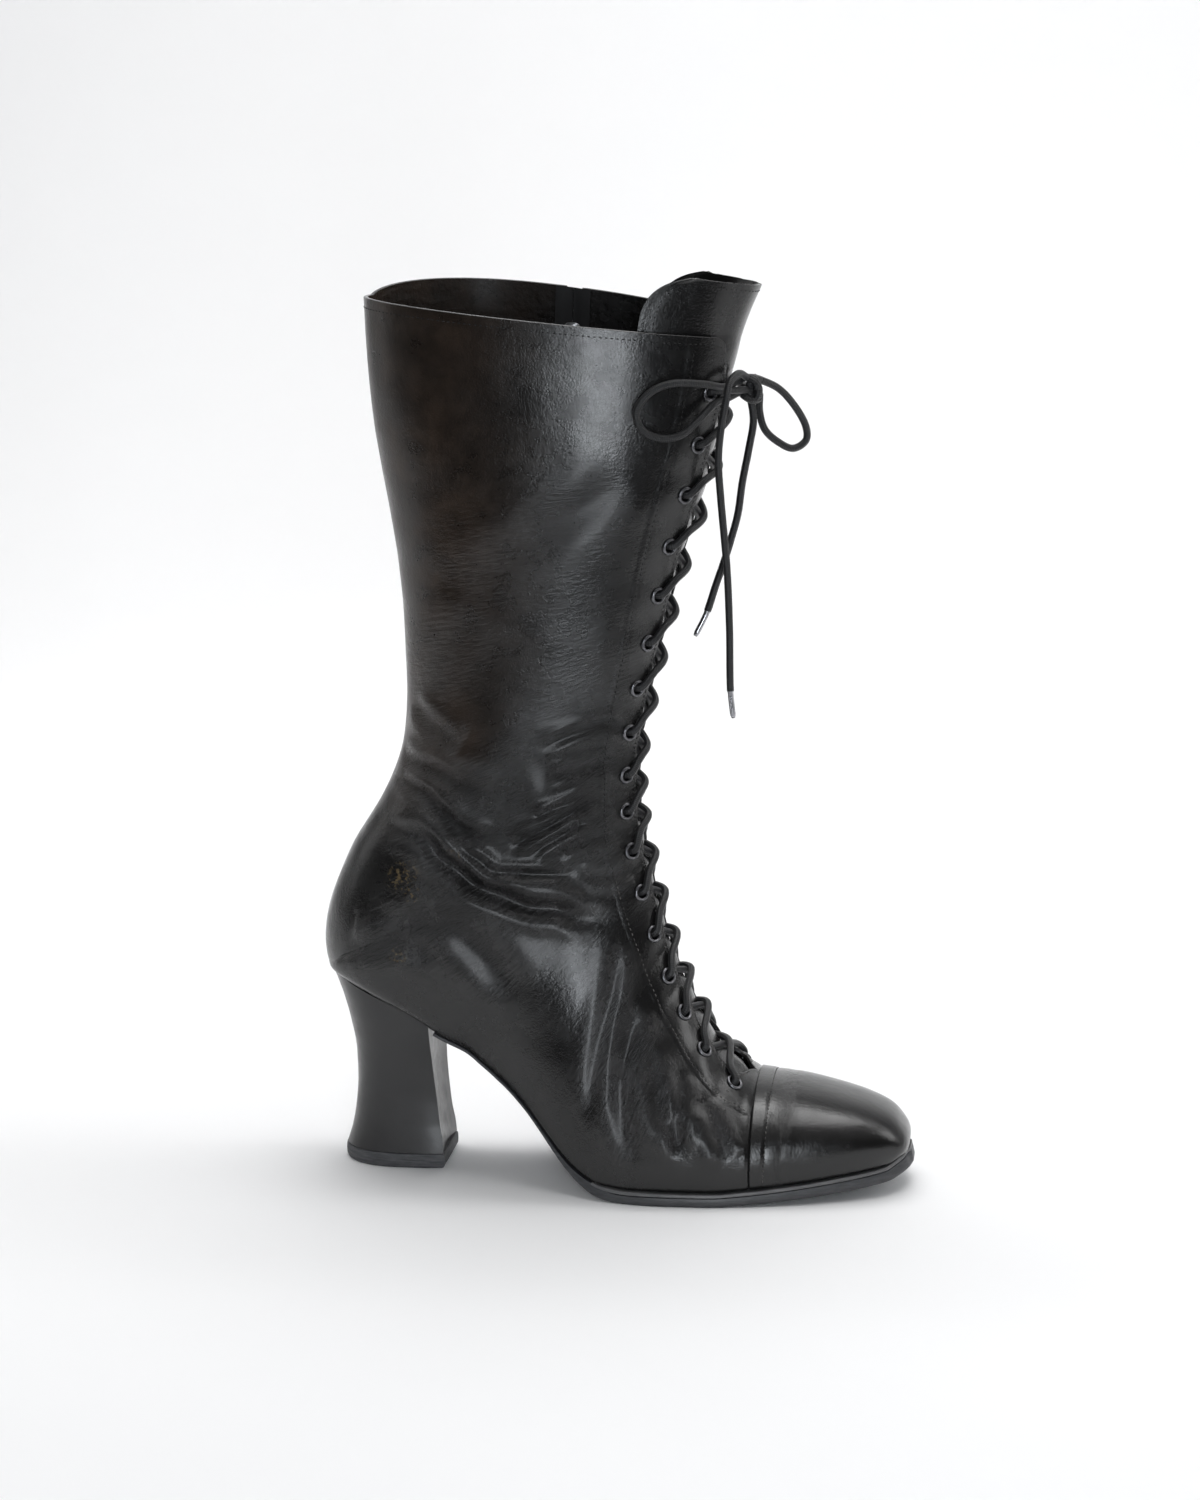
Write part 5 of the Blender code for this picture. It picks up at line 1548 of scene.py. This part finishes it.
def leather_look(name, specular, coat, crackled, grained):
    """Black leather, browned behind and rubbed along the creases. crackled is the
    strength and depth of its crackle, grained the strength of its grain."""
    gloss = {"Specular IOR Level": specular, "Coat Weight": coat, "Coat Roughness": 0.2}
    look, shader = new_look(name, (0.012, 0.0115, 0.0115), 0.36, gloss)
    place = place_in(look)
    flat = map_of(look)
    worn, brown, flex, sleek = (attribute(look, value) for value in ("worn", "brown", "flex", "sleek"))
    cloud = noise(look, place, 22.0, 5.0)
    patch = noise(look, place, 75.0, 6.0, 0.62)
    fine = noise(look, place, 900.0, 3.0)
    pore = node(look, "ShaderNodeTexVoronoi", {"Vector": place, "Scale": 780.0}, feature="DISTANCE_TO_EDGE")
    grain = ramp(look, pore.outputs["Distance"], 0.0, 0.25)
    crinkle = noise(look, stretched(look, flat, (0.16, 0.75, 1.0)), 1.0, 5.0, 0.6)
    crackle = noise(look, stretched(look, flat, (0.30, 0.30, 1.0)), 1.0, 6.0, 0.62)
    lines = times(look, crinkle, plus(look, times(look, flex, 1.4), worn))
    rubbed = times(look, worn, ramp(look, patch, 0.42, 0.62))
    black = mixed(look, cloud, (0.0045, 0.0044, 0.0046), (0.0095, 0.0090, 0.0088))
    tan = mixed(look, ramp(look, patch, 0.35, 0.7), (0.015, 0.0100, 0.0072), (0.036, 0.0220, 0.0140))
    colour = mixed(look, times(look, brown, ramp(look, cloud, 0.30, 0.62, 0.35, 1.0)), black, tan)
    colour = mixed(look, times(look, rubbed, 0.55), colour, (0.045, 0.043, 0.044))
    for spot, radius in SCUFFS:
        colour = mixed(look, scuff(look, place, spot, radius), colour, (0.120, 0.088, 0.045))
    rough = plus(look, ramp(look, patch, 0.3, 0.7, 0.19, 0.33), times(look, sleek, -0.04))
    rough = plus(look, rough, times(look, brown, 0.06))
    bumps = ((crackle, *crackled), (lines, 0.95, 1.9), (grain, 0.22 * grained, 0.25), (fine, 0.16, 0.14))
    return feed(look, shader, colour, rough, bumps)


def metal_look(name, colour, roughness):
    look, shader = new_look(name, colour, roughness, {"Metallic": 1.0})
    place = place_in(look)
    spots = noise(look, place, 260.0, 5.0, 0.65)
    fine = noise(look, place, 1500.0, 3.0)
    dim = tuple(c * 0.5 for c in colour)
    shade = mixed(look, ramp(look, spots, 0.5, 0.75), colour, dim)
    rough = ramp(look, spots, 0.35, 0.7, roughness * 0.8, roughness * 1.5)
    return feed(look, shader, shade, rough, ((spots, 0.12, 0.2), (fine, 0.10, 0.06)))


def lace_look(name, colour):
    """Waxed round braid: crossing diagonal strands, drawn in u and v."""
    gloss = {"Coat Weight": 0.12, "Coat Roughness": 0.35, "Sheen Weight": 0.05, "Specular IOR Level": 0.35}
    look, shader = new_look(name, colour, 0.46, gloss)
    flat = axes_of(look, map_of(look))
    turn = times(look, flat["X"], 2 * math.pi * 4)
    along = times(look, flat["Y"], 2 * math.pi / 1.5)
    one = maths(look, "SINE", plus(look, along, turn))
    two = maths(look, "SINE", maths(look, "SUBTRACT", along, turn))
    braid = times(look, one, two)
    place = place_in(look)
    fluff = noise(look, place, 2600.0, 3.0)
    cloud = noise(look, place, 60.0, 4.0)
    light = tuple(min(1.0, c * 2.1) for c in colour)
    share = times(look, ramp(look, braid, -1.0, 1.0), ramp(look, cloud, 0.3, 0.7, 0.35, 0.9))
    bumps = ((braid, 0.55, 0.22), (fluff, 0.25, 0.10))
    return feed(look, shader, mixed(look, share, colour, light), None, bumps)


def thread_look():
    """Black seam thread with painted glints: lighter grey in patches on the lower part of the boot."""
    look, shader = new_look("seam_thread", (0.008, 0.008, 0.008), 0.7)
    place = place_in(look)
    # Painted highlight: the thread turns grey in noisy patches low on the boot, standing in for glints on its
    # stitches
    low = ramp(look, axes_of(look, place)["Z"], 0.155, 0.125)
    rubbed = times(look, low, ramp(look, noise(look, place, 180.0), 0.40, 0.58))
    colour = mixed(look, rubbed, (0.006, 0.006, 0.006), (0.085, 0.080, 0.076))
    return feed(look, shader, colour, None, ((noise(look, place, 2600.0, 3.0), 0.3, 0.10),))


def edge_look(name, low, high, roughness, scale, bump=0.35):
    """Trimmed, inked leather or rubber edge with fine streaks and scuffs."""
    look, shader = new_look(name, low, roughness)
    place = place_in(look)
    streak = noise(look, stretched(look, place, (0.25, 0.25, 2.2)), scale, 5.0, 0.62)
    patch = noise(look, place, scale * 0.22, 6.0, 0.66)
    fine = noise(look, place, scale * 3.2, 3.0)
    share = times(look, ramp(look, streak, 0.35, 0.7), ramp(look, patch, 0.3, 0.7, 0.3, 1.0))
    rough = ramp(look, patch, 0.3, 0.75, roughness * 0.85, roughness * 1.35)
    bumps = ((patch, bump * 0.6, 0.6), (streak, bump, 0.3), (fine, bump * 0.7, 0.1))
    return feed(look, shader, mixed(look, share, low, high), rough, bumps)


def heel_look():
    """Leather cover of the heel, rubbed grey along the edges of its breast."""
    gloss = {"Coat Weight": 0.15, "Coat Roughness": 0.22}
    look, shader = new_look("heel_covering", (0.013, 0.013, 0.014), 0.34, gloss)
    place = place_in(look)
    cloud = noise(look, place, 38.0, 5.0)
    patch = noise(look, place, 160.0, 5.0, 0.62)
    grain = noise(look, place, 1100.0, 3.0)
    base = mixed(look, cloud, (0.010, 0.010, 0.011), (0.019, 0.018, 0.018))
    rub = times(look, attribute(look, "edge"), ramp(look, patch, 0.35, 0.6))
    colour = mixed(look, rub, base, (0.060, 0.058, 0.058))
    rough = ramp(look, patch, 0.3, 0.7, 0.28, 0.44)
    return feed(look, shader, colour, rough, ((cloud, 0.15, 1.6), (patch, 0.18, 0.4), (grain, 0.2, 0.12)))


def cloth_look():
    """Woven tape: fine waves across and along, drawn in u and v."""
    look, shader = new_look("zip_cloth", (0.010, 0.010, 0.011), 0.8)
    flat = axes_of(look, map_of(look))
    across = maths(look, "SINE", times(look, flat["X"], 2 * math.pi / 0.6))
    along = maths(look, "SINE", times(look, flat["Y"], 2 * math.pi / 0.5))
    weave = times(look, across, along)
    colour = mixed(look, ramp(look, weave, -1.0, 1.0), (0.007, 0.007, 0.008), (0.02, 0.02, 0.021))
    return feed(look, shader, colour, None, ((weave, 0.5, 0.1),))


def board_look():
    """Brown insole leather, worn in patches."""
    look, shader = new_look("insole_leather", (0.030, 0.024, 0.019), 0.6)
    place = place_in(look)
    patch = noise(look, place, 45.0, 6.0, 0.6)
    grain = noise(look, place, 900.0, 4.0)
    colour = mixed(look, patch, (0.018, 0.014, 0.011), (0.050, 0.038, 0.028))
    rough = ramp(look, patch, 0.3, 0.7, 0.45, 0.7)
    return feed(look, shader, colour, rough, ((patch, 0.2, 0.8), (grain, 0.3, 0.12)))


def build_floor():
    """White floor running up into a white wall."""
    look, shader = new_look("studio_white", (0.92, 0.92, 0.925), 0.9)
    cloud = noise(look, place_in(look), 3.0)
    feed(look, shader, mixed(look, cloud, (0.90, 0.90, 0.905), (0.94, 0.94, 0.945)))
    profile = [(-0.40, 0.0), (1.1, 0.0)]
    profile += [(1.1 + 0.8 * math.sin(a), 0.8 - 0.8 * math.cos(a)) for a in np.linspace(0.1, math.pi / 2, 12)]
    profile += [(1.9, 3.5)]
    verts = [(x, y, z) for x in (-4.0, 4.0) for y, z in profile]
    count = len(profile)
    quads = [(count + k, count + k + 1, k + 1, k) for k in range(count - 1)]
    mesh = bpy.data.meshes.new("studio")
    mesh.from_pydata(verts, [], quads)
    mesh.shade_smooth()
    mesh.materials.append(look)
    ground = bpy.data.objects.new("studio", mesh)
    bpy.context.scene.collection.objects.link(ground)


def build_air():
    """Soft glow from behind and above, and a white backdrop for the camera."""
    world = bpy.data.worlds.new("studio air")
    world.use_nodes = True
    way = axes_of(world, node(world, "ShaderNodeTexCoord").outputs["Generated"])
    behind = ramp(world, way["Y"], -0.1, 0.8, 0.0, 0.5)
    above = ramp(world, way["Z"], 0.45, 1.0, 0.0, 0.45)
    glow = plus(world, plus(world, behind, above), 0.02)
    room = node(world, "ShaderNodeCombineColor", {"Red": glow, "Green": glow, "Blue": glow}).outputs[0]
    seen = node(world, "ShaderNodeLightPath").outputs["Is Camera Ray"]
    air = world.node_tree.nodes["Background"]
    air.inputs["Strength"].default_value = 1.0
    world.node_tree.links.new(mixed(world, seen, room, (0.95, 0.95, 0.96)), air.inputs["Color"])
    bpy.context.scene.world = world


def aimed(name, data, place, ahead):
    """A lamp or camera at a place, looking along a direction."""
    thing = bpy.data.objects.new(name, data)
    thing.location = place
    thing.rotation_mode = "QUATERNION"
    thing.rotation_quaternion = ahead.to_track_quat("-Z", "Y")
    bpy.context.scene.collection.objects.link(thing)
    return thing


def build_lamps():
    for name, place, target, size, power, colour in LAMPS:
        lamp = bpy.data.lights.new(name, "AREA")
        lamp.shape = "RECTANGLE"
        lamp.size, lamp.size_y = size
        lamp.energy = power
        lamp.color = colour
        aimed(name, lamp, place, Vector(target) - Vector(place))


def build_camera():
    yaw = math.radians(CAMERA_YAW)
    pitch = math.radians(CAMERA_PITCH)
    ahead = Vector((-math.sin(yaw) * math.cos(pitch), math.cos(yaw) * math.cos(pitch), -math.sin(pitch)))
    x = CAMERA_SIDE + CAMERA_AWAY * math.sin(yaw) + SHIFT[0]
    y = -CAMERA_AWAY * math.cos(yaw) - CAMERA_BACK + SHIFT[1]
    place = Vector((x, y, CAMERA_HEIGHT + SHIFT[2])) * MM
    camera = aimed("camera", bpy.data.cameras.new("camera"), place, ahead)
    camera.data.lens = CAMERA_LENS
    camera.data.sensor_width = 36.0
    camera.data.sensor_fit = "AUTO"
    camera.data.clip_start = 0.05
    bpy.context.scene.camera = camera


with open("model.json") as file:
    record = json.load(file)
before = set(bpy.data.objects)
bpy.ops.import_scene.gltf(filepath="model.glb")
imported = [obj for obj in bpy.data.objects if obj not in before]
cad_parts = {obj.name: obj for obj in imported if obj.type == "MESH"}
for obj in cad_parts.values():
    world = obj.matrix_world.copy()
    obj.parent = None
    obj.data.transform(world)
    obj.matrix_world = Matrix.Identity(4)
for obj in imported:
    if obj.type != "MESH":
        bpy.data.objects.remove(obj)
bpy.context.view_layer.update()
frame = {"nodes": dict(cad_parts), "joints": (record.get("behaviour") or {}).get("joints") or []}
pull_pivot = bare_point(ZIP_HEAD, 1, ZIP_AT) + PIVOT_AWAY
SHIFT = np.array(frame["joints"][0]["pos_m"]) / MM - pull_pivot

build_camera()
build_floor()
build_air()
build_lamps()
leather = leather_look("black_leather_face", 0.46, 0.18, (0.22, 0.8), 0.55)
lining = leather_look("black_leather_lining", 0.2, 0.05, (0.85, 1.6), 0.9)
gunmetal = metal_look("gunmetal", (0.16, 0.16, 0.17), 0.30)
steel = metal_look("zip_steel", (0.40, 0.40, 0.41), 0.30)
tip_metal = metal_look("tip_steel", (0.42, 0.42, 0.44), 0.24)
waxed = lace_look("waxed_lace", (0.0085, 0.0085, 0.0092))
sole_look = edge_look("sole_edge", (0.030, 0.031, 0.034), (0.075, 0.076, 0.080), 0.42, 420.0)
# The welt's grey, lighter than the sole edge, is painted highlight along the top of the sole
welt_look = edge_look("welt_edge", (0.085, 0.085, 0.088), (0.18, 0.178, 0.178), 0.42, 420.0)
rubber = edge_look("lift_rubber", (0.045, 0.046, 0.050), (0.13, 0.13, 0.135), 0.62, 520.0, 0.7)

faces = upper_faces()
build_upper(faces, leather, lining)
seams = build_cap(leather)
seams += build_tongue(leather)
build_eyelets(faces, gunmetal)
build_lace(faces, waxed)
build_bow(waxed, tip_metal)
build_sole(sole_look, welt_look)
build_heel(heel_look(), rubber)
build_zip(faces[1], steel, cloth_look())
build_slider(pull_pivot, steel)
build_pull(pull_pivot, steel)
build_stitching(faces, seams, thread_look())
insole = frame["nodes"]["insole"]
insole.data.materials.clear()
insole.data.materials.append(board_look())

bpy.context.scene.view_settings.view_transform = "Standard"
